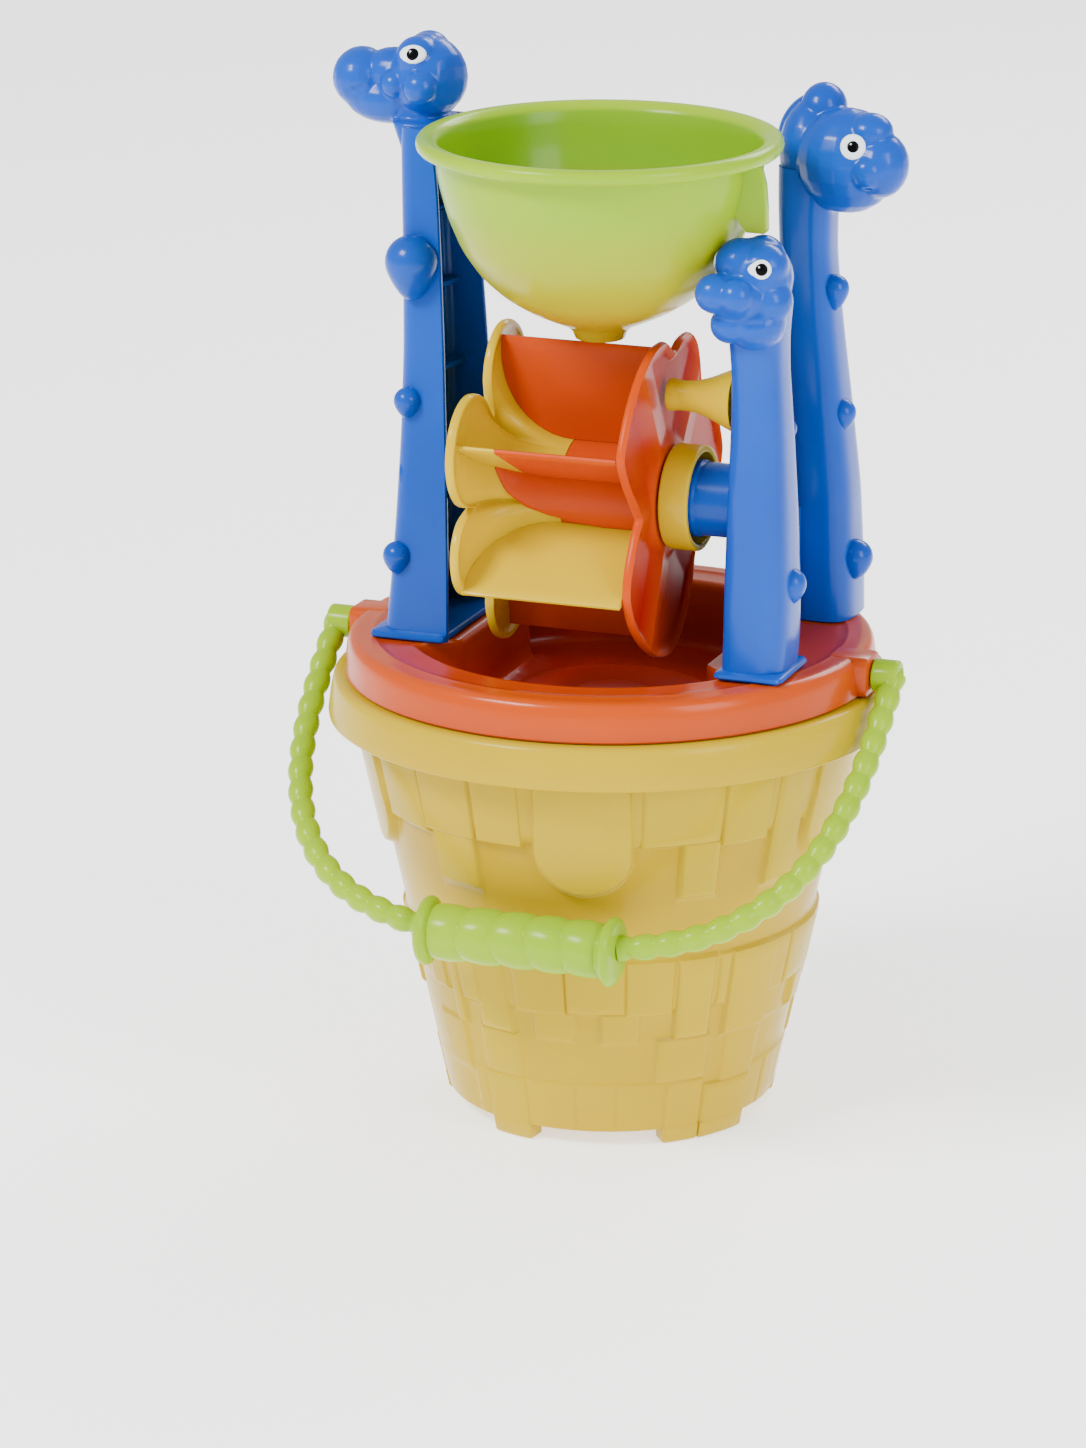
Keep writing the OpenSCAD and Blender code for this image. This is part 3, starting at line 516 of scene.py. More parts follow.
# %% The tray's loft
def tray_rows():
    rows, deep, add = stack_of_rings(TRAY_TURNS)
    # The third value of each level is painted shade: the underside, the skirt and the basin are painted darker, and
    # the ring's top a little towards its inner edge.
    for share in (0.06, 0.5, 0.9):
        add(share * edge_under, 147.1, 0.9)
    for inset, z in ((0.8, 147.2), (0.0, 148.2), (0.0, 170.6)):
        add(edge_under - inset, z, 0.9)
    add(np.maximum(edge_under + 0.5, 72.8), 171.1, 0.9)
    for r, z in ((84.0, 171.1), (90.8, 170.8), (91.4, 161.5), (86.4, 161.5), (86.0, 160.8), (83.6, 149.6),
                 (83.8, 149.3), (85.6, 149.3), (86.0, 149.8), (88.2, 159.2)):
        add(r, z, 0.7)
    for level in ((92.6, 159.3, 0.1), (93.5, 159.45), (94, 160.1), (93.7, 164), (93.3, 168), (92.9, 170.4),
                  (92.3, 171.8), (91.4, 172.8), (90.0, 173.25), (88.0, 173.3), (85.2, 173.3), (84.4, 173.42),
                  (83.9, 173.5, 0.05), (83.4, 173.42, 0.2), (82.8, 173.1, 0.32), (80.0, 173.0, 0.36)):
        add(*level)
    add(np.maximum(edge_top + 4.5, 74.5), 173.0, 0.36)
    for grow, z, depth in ((3.6, 173.05, 0.34), (2.2, 173.2, 0.2), (1.0, 172.8, 0.05), (0.3, 171.8, 0.15),
                           (-0.1, 170.0, 0.5), (-0.6, 163.0, 0.75), (-1.2, 154.5, 0.85), (-1.8, 151.2, 0.8),
                           (-3.0, 149.8, 0.7), (-5.0, 149.4, 0.9)):
        add(edge_top + grow, z, depth)
    for share in (0.81, 0.72):
        add(share * edge_top + 4.0, 149.35, 0.95)
    for level in ((36.0, 149.35, 0.95), (35.4, 149.5, 0.7), (34.9, 149.9, 0.55), (34.2, 150.1, 0.7),
                  (33, 150.1, 0.9), (15, 150.1, 0.95), (14.4, 150.2, 0.7), (13.8, 150.5, 0.6), (13, 150.6, 0.9),
                  (2, 150.6, 0.9)):
        add(*level)
    return rows, np.concatenate(deep)


rows, tray_depth = tray_rows()
piece("catch_tray", capped(rows), "tray_tower", ORANGE, ["tray"],
      depth=np.append(tray_depth, [0.9, 0.9]))


# %% Ears that the bail turns in: rounded blocks on the ring's left and right
def rounded_block(low, high, radius, axis=0):
    """A block with rounded upright edges across the given axis, lofted along that axis, ends softened."""
    across, up = [i for i in range(3) if i != axis]
    rows = []
    for place, shrink in ((low[axis], 0.5), (low[axis] + radius * 0.4, 0), (high[axis] - radius * 0.5, 0),
                          (high[axis] - radius * 0.15, 0.15), (high[axis], 0.5)):
        ring = []
        for x, y, start in ((1, 1, 0), (-1, 1, 90), (-1, -1, 180), (1, -1, 270)):
            u = high[across] - radius if x > 0 else low[across] + radius
            v = high[up] - radius if y > 0 else low[up] + radius
            for angle in np.radians(start + np.linspace(0, 90, 5)):
                point = [place] * 3
                point[across] = u + radius * (1 - shrink) * cos(angle)
                point[up] = v + radius * (1 - shrink) * sin(angle)
                ring.append(point)
        rows.append(ring)
    return capped(rows)


ear = rounded_block((82, -8, 159.4), (97.2, 8, 173.6), 3)
piece("tray_ears", merged(ear, mirrored(ear)), "tray_tower", ORANGE)

# %% [markdown]
# ## The supports
# Three blue mouldings stand on the tray like long-necked dinosaurs. The left neck is a tall channel, open
# towards the wheel, with ribs inside. The two right ones are closed, rounded tubes. Heads are soft, with
# cheeks, brows and nostrils that swell out of one another, so each head is a cluster of balls that a
# voxel remesh melts into one skin. Thin creases for mouths are then pressed in along a line.

# %% Melting a cluster of shapes into one skin
def ball(centre, radius, stretch=(1, 1, 1)):
    rows = []
    for v in np.linspace(0.03, 0.97, 11) * pi:
        shape = [(sin(v) * cos(u), sin(v) * sin(u), cos(v)) for u in full_turn(20)]
        rows.append(np.array(centre) + radius * np.array(stretch) * np.array(shape))
    return capped(rows)


def melted(name, parts, voxel=0.65, keep=0.6):
    """One skin over several overlapping closed shapes, smoothed, with a share of its faces kept."""
    work = bpy.data.objects.new(name + "_work", new_mesh(name + "_work", merged(*parts)))
    outward(work.data)
    bpy.context.scene.collection.objects.link(work)
    skin = work.modifiers.new("skin", "REMESH")
    skin.mode = "VOXEL"
    skin.voxel_size = voxel * MM
    soft = work.modifiers.new("soften", "SMOOTH")
    soft.factor = 0.5
    soft.iterations = 6
    work.modifiers.new("fewer", "DECIMATE").ratio = keep
    mesh = bpy.data.meshes.new_from_object(work.evaluated_get(bpy.context.evaluated_depsgraph_get()))
    old = work.data
    bpy.data.objects.remove(work)
    bpy.data.meshes.remove(old)
    mesh.polygons.foreach_set("use_smooth", [True] * len(mesh.polygons))
    return mesh


def vectors(mesh, key="co"):
    """The mesh's points, or another vector of each point, as an array."""
    values = np.zeros(len(mesh.vertices) * 3)
    mesh.vertices.foreach_get(key, values)
    return values.reshape(-1, 3)


def set_points(mesh, points):
    mesh.vertices.foreach_set("co", (points * MM).ravel())
    mesh.update()


def press_line(mesh, line, width=0.8, deep=0.8):
    """A crease pressed into a skin along a line of points in space."""
    points = vectors(mesh) / MM
    near = np.full(len(points), 1e9)
    for a, b in zip(np.array(line[:-1]), np.array(line[1:])):
        for t in np.linspace(0, 1, max(2, int(np.linalg.norm(b - a) / 0.4))):
            near = np.minimum(near, np.linalg.norm(points - (a + (b - a) * t), axis=1))
    push = deep * smooth_step(1 - near / (2 * width))
    set_points(mesh, points - vectors(mesh, "normal") * push[:, None])


# %% Room that the funnel needs: the heads stay out of its lip and its bowl
LIP_CENTRE, LIP_R, LIP_LOW = (4, -22), 63, 349.7
BOWL_LOW, BOWL_R, SPOUT_R = 295.3, 56.84, 10.5


def bowl_radius(z):
    share = np.clip((z - BOWL_LOW) / (LIP_LOW - BOWL_LOW), 0, 1)
    return SPOUT_R + (BOWL_R - SPOUT_R) * np.sqrt(1 - (1 - share) ** 2)


def clear_of_funnel(mesh):
    points = vectors(mesh) / MM
    off = points[:, :2] - LIP_CENTRE
    far = np.hypot(*off.T)
    bowl_need = np.where(points[:, 2] > BOWL_LOW, bowl_radius(points[:, 2]) + 0.9, 0)
    need = np.where(points[:, 2] > LIP_LOW - 0.6, LIP_R + 0.7, bowl_need)
    soft = np.where(need > 0, 2.6, 0.001)
    pushed = np.where(far < need - soft, need, need + (far - need + soft) ** 2 / (4 * soft))
    grow = np.where((need > 0) & (far < need + soft), pushed / np.maximum(far, 1e-6), 1)
    points[:, :2] = LIP_CENTRE + off * grow[:, None]
    set_points(mesh, points)
    print("  points moved clear of the funnel:", int((grow > 1).sum()))


# %% Necks
def oval_ring(x0, x1, y0, y1, z, power=3.2, count=56):
    """A rounded rectangle as one ring."""
    ring = []
    for t in full_turn(count):
        c, s = (copysign(abs(value) ** (2 / power), value) for value in (cos(t), sin(t)))
        ring.append(((x0 + x1) / 2 + (x1 - x0) / 2 * c, (y0 + y1) / 2 + (y1 - y0) / 2 * s, z))
    return ring


def stations_at(z, table):
    """The (x from, x to, y from, y to) of a table of stations at a height."""
    return [np.interp(z, table[:, 0], table[:, k]) for k in range(1, 5)]


def tube_neck(stations, steps=60):
    """A closed neck through stations of (z, x from, x to, y from, y to)."""
    table = np.array(stations, float)
    return capped([oval_ring(*stations_at(z, table), z) for z in np.linspace(table[0, 0], table[-1, 0], steps)])


def smooth_table(stations, steps=50):
    """More stations, along smooth curves through the given ones."""
    table = np.array(stations, float)
    z = np.linspace(table[0, 0], table[-1, 0], steps)
    out = [z]
    for values in stations_at(z, table):
        for _ in range(3):
            values[1:-1] = (values[:-2] + 2 * values[1:-1] + values[2:]) / 4
        out.append(values)
    return np.stack(out, axis=1)


def bump(centre, radius, tail=0.35):
    """A scale: a ball drawn out to a blunt point below."""
    rows = []
    for v in np.linspace(0.03, 0.97, 15) * pi:
        up, width = cos(v), radius * sin(v)
        if up <= 0:
            up, width = up * (1 + tail * up * up), width * (1 - 0.12 * tail * up * up)
        rows.append([(centre[0] + width * cos(u), centre[1] + width * sin(u), centre[2] + radius * up)
                     for u in full_turn(28)])
    return capped(rows)


def blue(name, part, stands_for=(), sharp=38):
    return piece(name, part, "tray_tower", BLUE, stands_for, sharp)


# %% The left support: channel, ribs, boss, foot and scales
def channel_ring(x_out, x_in, y0, y1, wall=2.1, corner=6.0):
    """Outer and inner path of a channel open towards +X, from its front lip round the back to its rear lip."""
    paths = []
    for inset in (0.0, wall):
        r = max(corner - inset, 1.0)
        turns = np.radians(np.linspace(0, 90, 8))
        paths.append([(x_in, y0 + inset),
                      *[(x_out + inset + r - r * sin(a), y0 + inset + r - r * cos(a)) for a in turns],
                      *[(x_out + inset + r - r * cos(a), y1 - inset - r + r * sin(a)) for a in turns],
                      (x_in, y1 - inset)])
    return paths


def channel_level(z, *sides):
    """One closed ring of the channel: the outer path, a rounded lip, back along the inner path, and a lip."""
    outer, inner = channel_ring(*sides)
    lip_x = sides[1] + 0.35
    lips = [[(lip_x, a[1] - 0.5), (lip_x, b[1] + 0.5)] for a, b in ((outer[-1], inner[-1]), (inner[0], outer[0]))]
    return [(x, y, z) for x, y in outer + lips[0] + inner[::-1] + lips[1]]


def channel_end(z, *sides):
    """Faces between the two paths, which close an end of the channel."""
    return joined_rows([[(x, y, z) for x, y in path] for path in channel_ring(*sides)], around=False)


LEFT_STATIONS = smooth_table([
    (173.4, -73, -48.2, -36.5, 20.5), (190, -71.6, -48.6, -35, 19.4), (215, -70.2, -49.6, -32.6, 18.4),
    (245, -69.3, -51.2, -29.2, 17.6), (275, -69.4, -53, -25.8, 17.6), (305, -70.6, -55.2, -22.4, 17.8),
    (330, -72, -57.4, -19.4, 18), (345, -72.8, -59.6, -17.6, 18.2), (351, -73, -60.6, -16.8, 18.2)], 60)


def shelf(z, thick=1.6, inset=1.0):
    """A rib across the channel."""
    rows = []
    for level in (z, z + thick):
        x0, x1, y0, y1 = stations_at(level, LEFT_STATIONS)
        front = [(x0 + 2.8, y0 + 2.8, level), (x0 + 6.0, y0 + inset, level), (x1 - 8.0, y0 + inset, level)]
        back = [(x, y0 + y1 - y, level) for x, y, _ in front[::-1]]
        rows.append(front + [(x1 - 10.5, (y0 + y1) / 2, level)] + back)
    return capped(rows)


def upright_rib(y_share, z0, z1, reach=0.4, thick=1.5):
    """A rib along the channel's back."""
    rows = []
    for z in np.linspace(z0, z1, 16):
        x0, x1, y0, y1 = stations_at(z, LEFT_STATIONS)
        x_end, y = x0 + (x1 - x0) * reach, y0 + (y1 - y0) * y_share
        corners = ((x0 + 1, -1), (x_end, -1), (x_end, 1), (x0 + 1, 1))
        rows.append([(x, y + side * thick / 2, z) for x, side in corners])
    return capped(rows)


AXLE = (-22.0, 230.3)
left_boss = soft_profile([(8.2, -68.0), (8.2, -48.1), (4.12, -48.1), (4.12, -68.0)], 0.7)
blue("left_neck", merged(joined_rows([channel_level(*station) for station in LEFT_STATIONS]),
                         *[channel_end(*LEFT_STATIONS[end]) for end in (0, -1)]), ["left_support"])
blue("left_neck_ribs", merged(*[shelf(z) for z in (196, 262, 291, 318, 340)],
                              upright_rib(0.3, 175, 219), upright_rib(0.62, 175, 346)))
blue("left_bearing", joined_rows(turned(left_boss, AXLE, count=64), loop=True))
blue("left_foot", rounded_block((-76.0, -39.4, 173.32), (-48.1, 20.4, 176.2), 2.0, axis=2))
blue("left_scales", merged(bump((-64.6, -24.8, 306.2), 9.3, 0.5), bump((-65.2, -28.6, 257.4), 4.7),
                           bump((-67.6, -33.6, 202.6), 5.0)))

# %% The left head
def both_sides(x, off, z, radius, middle, stretch=(1, 1, 1)):
    return [ball((x, middle + side * off, z), radius, stretch) for side in (-1, 1)]


LEFT_MID = 2.0
left_head = melted("left_head", [
    ball((-68.2, LEFT_MID, 366.0), 14.2, (0.98, 0.98, 1.02)),
    ball((-93.2, LEFT_MID, 364.4), 10.3, (1.0, 1.12, 1.04)),
    ball((-83.0, LEFT_MID, 357.6), 9.6, (1.7, 1.1, 0.94)),
    ball((-80.5, LEFT_MID, 367.2), 8.6, (1.4, 1.05, 0.98)),
    ball((-72.0, LEFT_MID, 353.4), 8.6, (1.2, 1.1, 0.8)),
    ball((-69.4, LEFT_MID, 372.2), 8.6, (1.0, 1.1, 1.05)),
    *both_sides(-70.0, 5.6, 373.3, 7.9, LEFT_MID),
    *both_sides(-77.4, 9.2, 364.4, 4.9, LEFT_MID),
    *both_sides(-66.6, 12.2, 364.4, 6.2, LEFT_MID),
    tube_neck([(338, -72.2, -60, -16, 17), (352, -79, -60.4, -13, 16)], 12),
])
clear_of_funnel(left_head)
for side in (-1, 1):
    press_line(left_head, [(x, LEFT_MID + side * off, z) for x, off, z in (
        (-98.4, 7.5, 362.6), (-93.5, 10.4, 361.2), (-88.0, 11.0, 362.6), (-82.5, 11.4, 361.6))])
left_head_piece = blue("left_head", left_head, sharp=0)

# %% The right front support: neck, head, boss, foot and the web to its neighbour
front_neck = tube_neck(smooth_table([
    (173.6, 54.2, 77.4, -45.6, -16.6), (186.0, 54.8, 78.4, -45.8, -16.4), (200.0, 54.9, 78.6, -45.4, -16.8),
    (230, 55.6, 77.6, -44.4, -17.8), (260, 56.6, 76, -42.6, -19.4), (280, 56.6, 74.6, -41.6, -20.4),
    (292, 55.6, 74.4, -42.4, -19.8), (303, 54.6, 75.4, -44, -19)]))
front_head = melted("front_head", [
    ball((64.4, -34.4, 312.6), 13.2, (1.0, 1.0, 1.05)),
    ball((66.3, -31.6, 319.4), 7.6),
    ball((60.2, -37.0, 318.2), 8.8, (1.05, 1.05, 0.95)),
    ball((68.2, -37.4, 317.4), 8.6, (1.05, 1.05, 0.95)),
    ball((54.6, -48.0, 309.2), 6.9),
    ball((62.4, -48.6, 308.8), 6.4),
    ball((60.6, -43.6, 307.6), 9.0, (1.2, 1.0, 0.9)),
    ball((70.6, -37.6, 305.6), 8.6, (0.95, 1.05, 0.95)),
    ball((66, -38, 298.6), 10.8, (0.98, 1, 0.95)),
    ball((58.6, -42, 297.6), 7.4, (1, 1, 0.9)),
    tube_neck([(284, 57.2, 74.2, -41, -21), (300, 56.4, 74.8, -43, -20.4),
               (308, 56, 75, -43, -20.4)], 14),
])
clear_of_funnel(front_head)
press_line(front_head, [(51.6, -50.4, 303), (55.5, -51.6, 300.4), (60, -51, 302), (66, -49.6, 299.2),
                        (71.0, -46.4, 299.6), (75.4, -42.0, 304.2)])
front_boss = soft_profile([(12.8, 58), (12.8, 42.6), (13.5, 42), (13.5, 40), (12.2, 39.4), (10.6, 39.4),
                           (10.2, 41), (10.2, 44), (4.15, 44), (4.15, 58)], 0.5)


def web_plate():
    """The thin wall between the two right necks, with a curved top."""
    ys = np.linspace(-18.4, 34.0, 28)
    top = [233 - 18 * smooth_step((y + 18.4) / 26) - 2 * sin(pi * (y + 18.4) / 52.4) for y in ys]
    rows = []
    for x, shrink in ((56, 0.5), (56.4, 0), (58.6, 0), (59, 0.5)):
        rows.append([(x, y, t - shrink) for y, t in zip(ys, top)] + [(x, y, 173.4) for y in ys[::-1]])
    return capped(rows)


blue("right_front_neck", front_neck, ["right_front_support"])
front_head_piece = blue("right_front_head", front_head, sharp=0)
blue("right_front_scales", merged(bump((77.0, -31.4, 205.6), 5.5), bump((71.6, -20.4, 257.3), 3.4)))
blue("right_bearing", joined_rows(turned(front_boss, AXLE, count=72), loop=True))
blue("right_foot", rounded_block((54.1, -48.8, 173.32), (79.2, -16.3, 176.2), 3.4, axis=2))
blue("right_web", web_plate(), sharp=30)

# %% The right rear support
rear_neck = tube_neck(smooth_table([
    (173.6, 54.2, 76.4, 33.2, 62.8), (190, 54, 76.2, 33.6, 62.4), (220, 52.6, 74.8, 34.6, 61.4),
    (250, 51, 71.4, 35.6, 60.4), (280, 49, 67.8, 36.8, 59.2), (305, 47, 65.6, 37.4, 58.6),
    (322, 46.4, 66, 37.2, 58.8), (335, 46.6, 68, 36.4, 59)]))
rear_head = melted("rear_head", [
    ball((71.4, 44.4, 338), 18.6, (1, 0.86, 1)),
    ball((84.6, 40.8, 338.0), 10.6, (0.95, 1.05, 1.1)),
    ball((56.6, 49.4, 340.0), 14.2, (0.8, 0.95, 1.25)),
    ball((60.4, 51.4, 354.6), 9.2, (0.9, 1.0, 0.98)),
    ball((80.8, 40.4, 349.4), 7.6, (1.1, 1.05, 0.9)),
    *both_sides(82.4, 8.4, 336.6, 6.2, 41.6, (0.95, 0.9, 1.0)),
    tube_neck([(316, 47.6, 65.6, 38, 58), (335, 47, 69, 37, 58.6)], 14),
], voxel=0.7, keep=0.55)
press_line(rear_head, [(72.6, 28.6, 331.2), (76.4, 29, 329.6), (80.6, 30.2, 330), (83.6, 31, 331.4)])


def crest():
    """The ridge that stands behind the rear head like a cut ring."""
    rows = []
    for t in np.linspace(-1.0, 1.0, 26):
        angle = radians(172 - 62 * t)
        out = np.array([cos(angle), 0, sin(angle)])
        middle = np.array([63.0 + 16.6 * cos(angle), 52.5, 341.5 + 18.2 * sin(angle)])
        size = 4.2 * sqrt(max(0.02, 1 - t * t)) + 0.3
        back = np.array([0, 5.0 * size / 4.2, 0])
        rows.append([middle + out * size * 0.7 * cos(u) + back * sin(u) for u in full_turn(16)])
    return capped(rows)


blue("right_rear_neck", rear_neck, ["right_rear_support"])
rear_head_piece = blue("right_rear_head", rear_head, sharp=0)
blue("right_rear_crest", crest())
blue("right_rear_scales", merged(bump((67.4, 44.6, 292), 5, 0.6), bump((70.6, 44.2, 247.6), 5),
                                 bump((76.2, 44.2, 195.6), 6.2)))

# %% [markdown]
# ## The eyes
# The eyes are printed or inlaid discs that follow the head's skin. A flat disc would float off the round
# skin, so each eye is a small net of points thrown onto the head along one direction: a white almond, a
# black pupil a little higher and two tiny glints.

# %% Patches that lie on a skin
def patch_on(head, centre, direction, shape, lift, rings=7, count=40):
    """A thin domed patch: shape(angle) gives its radius, and it follows the head under it."""
    tree = BVHTree.FromObject(head, bpy.context.evaluated_depsgraph_get())
    look = Vector(direction).normalized()
    side = look.cross(Vector((0, 0, 1))).normalized()
    up = side.cross(look)
    origin = Vector(centre)
    rows = []
    for k in range(1, rings + 2):
        share = min(k / rings, 1.0)
        ring = []
        for t in full_turn(count):
            r = shape(t) * share
            start = (origin + side * (r * cos(t)) + up * (r * sin(t)) - look * 20) * MM
            hit, normal, _, _ = tree.ray_cast(start, look)
            if hit is None:
                hit, normal = origin * MM, -look
            rise = lift * (1 - 0.5 * share ** 6) if k <= rings else -0.5
            ring.append(tuple(hit / MM + normal * rise))
        rows.append(ring)
    return joined_rows(rows, cap_first=True)


def almond(width, height, tip=0.0, tilt=0.0):
    """Radius of an oval in each direction, drawn to a point towards tilt."""
    def radius(t):
        a = t - tilt
        return 1 / sqrt((cos(a) / width) ** 2 + (sin(a) / height) ** 2) + tip * max(0.0, cos(a)) ** 8
    return radius


# %% The six eyes: head, place, direction into the head, and the almond's width, height, tip and tilt
EYES = [
    (left_head_piece, (-69, -9, 375.6), (0.05, 1, -0.22), (4.3, 3.2, 0.8, 3.14)),
    (left_head_piece, (-69, 13, 375.6), (0.05, -1, -0.22), (4.3, 3.2, 0.8, 0)),
    (front_head_piece, (70.4, -45.6, 318.2), (-0.42, 1.0, -0.2), (3.3, 3.3, 1.3, 3.14)),
    (front_head_piece, (53, -38, 318.4), (1, 0.35, -0.2), (3.2, 3.4, 0.8, 0)),
    (rear_head_piece, (77.9, 30.0, 345.9), (-0.3, 1.0, -0.2), (4.4, 4.4)),
    (rear_head_piece, (73.4, 58.5, 345.9), (-0.05, -1.0, -0.2), (4.4, 4.4)),
]
whites, pupils, glints = [], [], []
for head, centre, into, oval in EYES:
    whites.append(patch_on(head, centre, into, almond(*oval), 0.35))
    pupils.append(patch_on(head, centre, into, almond(2.1, 2.1), 0.62, rings=5, count=28))
    across = Vector(into).normalized().cross(Vector((0, 0, 1))).normalized()
    spot = Vector(centre) - across * 0.75 + Vector((0, 0, 0.85))
    glints.append(patch_on(head, spot, into, almond(0.4, 0.4), 0.8, rings=2, count=14))
piece("eye_almonds", merged(*whites, *glints), "tray_tower", EYE_WHITE, ["eye_whites"], sharp=0)
piece("eye_dots", merged(*pupils), "tray_tower", EYE_BLACK, ["eye_pupils"], sharp=0)

# %% [markdown]
# ## The paddle wheel
# The wheel is moulded in two halves that push together: a yellow left disc whose middle flares into a
# long hollow cone, and an orange right disc with a sleeve that meets it. Both discs are lobed, one lobe
# for each paddle. A lobed disc is a lathe whose outer radius changes with direction, so the same rows
# of rings serve, with the edge's radius taken from the union of six circles and a core.

# %% Lobed discs
FIRST_TURN, SLEEVE_R = 4.0, 0.3 * 58.0
DISC_LEFT, DISC_RIGHT, FLARE_END, FLARE_TOP, WALL = -31, 27, -4.9, 46, 2.4
WHEEL_TURNS = full_turn(360)
PETALS = [(-2, 57, 17.6), (61, 57.8, 19.8), (117, 53.4, 15), (183, 57.8, 17.6), (244, 57.4, 19), (304, 57.4, 19)]


def petal_edge(core):
    """Edge of overlapping circles round a core, one for each petal: (direction, reach, radius)."""
    edge = np.full(len(WHEEL_TURNS), float(core))
    for direction, reach, radius in PETALS:
        middle = reach - radius
        off = (WHEEL_TURNS - radians(direction) + pi) % (2 * pi) - pi
        inside = radius ** 2 - (middle * np.sin(off)) ** 2
        out = np.where((inside > 0) & (np.abs(off) < 1.2), middle * np.cos(off) + np.sqrt(np.maximum(inside, 0)), 0)
        edge = np.maximum(edge, out)
    return evened(edge, 7)


def wheel_rows(levels):
    """Rings about the axle: each level is (radius for every direction, place along X)."""
    rows = []
    for radius, place in levels:
        radius = np.broadcast_to(radius, WHEEL_TURNS.shape)
        place = np.broadcast_to(place, WHEEL_TURNS.shape)
        rows.append(np.stack([place, AXLE[0] - radius * np.sin(WHEEL_TURNS), AXLE[1] + radius * np.cos(WHEEL_TURNS)],
                             axis=1))
    return rows


def flare(top, inner, end, steps):
    """Levels of the flare, a quarter of an oval, from the disc (step 0) to its narrow end (step 1)."""
    return [(top - (top - inner) * sin(pi / 2 * s), end - (end - DISC_LEFT) * cos(pi / 2 * s)) for s in steps]


edge_line = petal_edge(30.0)
flare_steps = np.linspace(0, 1, 12)
flare_top = np.minimum(FLARE_TOP, edge_line - 4.0)
left_levels = [
    (13.97, 33.6), (13.2, 33.8), (4.2, 33.8), (4.2, -47), (9.6, -47), (9.7, -7.4), (12, -7.5), (15, -7.6),
    *flare(flare_top - WALL, 15.0, FLARE_END - WALL, flare_steps[::-1]),
    (flare_top - 1.0, DISC_LEFT - 2.0),
    *((edge_line - inset, DISC_LEFT + x) for inset, x in (
        (3, -2.2), (1.2, -2.3), (0.3, -1.9), (0, -1), (0.1, 0.2), (0.7, 0.9), (1.6, 1), (2.8, 0.7),
        (3.8, 0.15))),
    (np.minimum(edge_line - 5.0, flare_top + 2.0), DISC_LEFT + 0.05),
    *flare(flare_top, SLEEVE_R, FLARE_END, flare_steps),
    (SLEEVE_R - 0.6, FLARE_END), (14.3, FLARE_END), (13.97, FLARE_END + 0.4)]
left_part = joined_rows(wheel_rows(left_levels), loop=True)


def flare_at(x):
    """Radius of the flare's outer face at a place along the axle, in the direction of a paddle."""
    share = np.clip((FLARE_END - x) / (FLARE_END - DISC_LEFT), 0, 1)
    return FLARE_TOP - (FLARE_TOP - SLEEVE_R) * np.sqrt(1 - share ** 2)


# %% The blades
BLADE_REACH, BLADE_HALF = 53.0, 1.0


def blade(index, x0, x1):
    """A paddle: a plate along the axle whose left edge follows the flare, with a thicker outer edge."""
    turn = radians(FIRST_TURN + 60 * index)
    out, across = np.array([0, -sin(turn), cos(turn)]), np.array([0, -cos(turn), -sin(turn)])
    xs = np.linspace(x0, min(x1, FLARE_END), 16)
    if x1 > FLARE_END:
        xs = np.append(xs, np.linspace(FLARE_END + 0.4, x1, 8))
    inner = np.maximum(SLEEVE_R, flare_at(xs)) + 0.15
    rows = []
    for side in (-1, 1):
        for level in (0.0, 0.3, 0.6, 0.85, 0.95, 1.0)[::-side]:
            half = BLADE_HALF * (0.88 + 0.12 * smooth_step((level - 0.8) / 0.15)) * (0.45 if level == 1.0 else 1)
            rows.append([np.array([x, *AXLE]) + out * r + across * side * half
                         for x, r in zip(xs, inner + (BLADE_REACH - inner) * level)])
    return capped(np.swapaxes(np.array(rows), 0, 1))


stub = blade(1, DISC_LEFT + 0.1, DISC_LEFT + 13.9)
piece("left_wheel_disc", merged(left_part, stub), "wheel", WHEEL_YELLOW, ["wheel_left_disc"])
for index, start in enumerate((0, 13.95, 0, 0, 0, 0)):
    finish, slot = (WHEEL_YELLOW, "wheel_yellow") if index in (2, 5) else (WHEEL_ORANGE, "wheel_orange")
    piece(f"blade_{index + 1}", blade(index, DISC_LEFT + start + 0.1, DISC_RIGHT - 0.05), "wheel", finish,
          [f"paddle_{index + 1}"])


# %% An orange pocket behind blade 2, laid over the flare
pocket_rows = []
for share in np.linspace(0, 1, 30):
    turn = radians(FIRST_TURN + 60.9 + 55.6 * share)
    start = float(np.interp(share, (0, 0.34, 0.6, 0.8, 0.9, 1), (-25.5, -21.5, -15.8, -8.5, -2.0, 10.0)))
    xs = np.linspace(start, DISC_RIGHT - 0.1, 26)
    radius = np.maximum(SLEEVE_R, flare_at(xs)) + 0.55 + 0.5 * sin(pi * share)
    radius[0] -= 0.35
    pocket_rows.append(np.stack([xs, AXLE[0] - radius * sin(turn), AXLE[1] + radius * cos(turn)], axis=1))
pocket_piece = piece("blade_2_pocket", joined_rows(pocket_rows, around=False), "wheel", WHEEL_ORANGE)
thickness = pocket_piece.modifiers.new("wall", "SOLIDIFY")
thickness.thickness = 0.8 * MM
thickness.offset = 0.0


# %% The right disc, a pinwheel of joined lobes with folds and pockets on its outer face
# (direction in degrees, radius)
PINWHEEL = [
    (4, 55.8), (16, 57.6), (28, 57.2), (42, 56), (56, 55), (64, 54.6), (70, 47.5), (80, 37), (93, 29.4),
    (106, 38), (116, 46.5), (123, 50.6), (134, 52.6), (150, 54), (166, 56.4), (181, 57.6), (192, 54), (206, 46.5),
    (222, 38), (234, 35.4), (246, 41), (260, 50.5), (274, 55.4), (288, 52.6), (300, 44), (308, 41.2), (318, 47),
    (330, 55.6), (338, 57.6), (348, 54), (355, 49.5), (360, 52), (364, 55.8)]


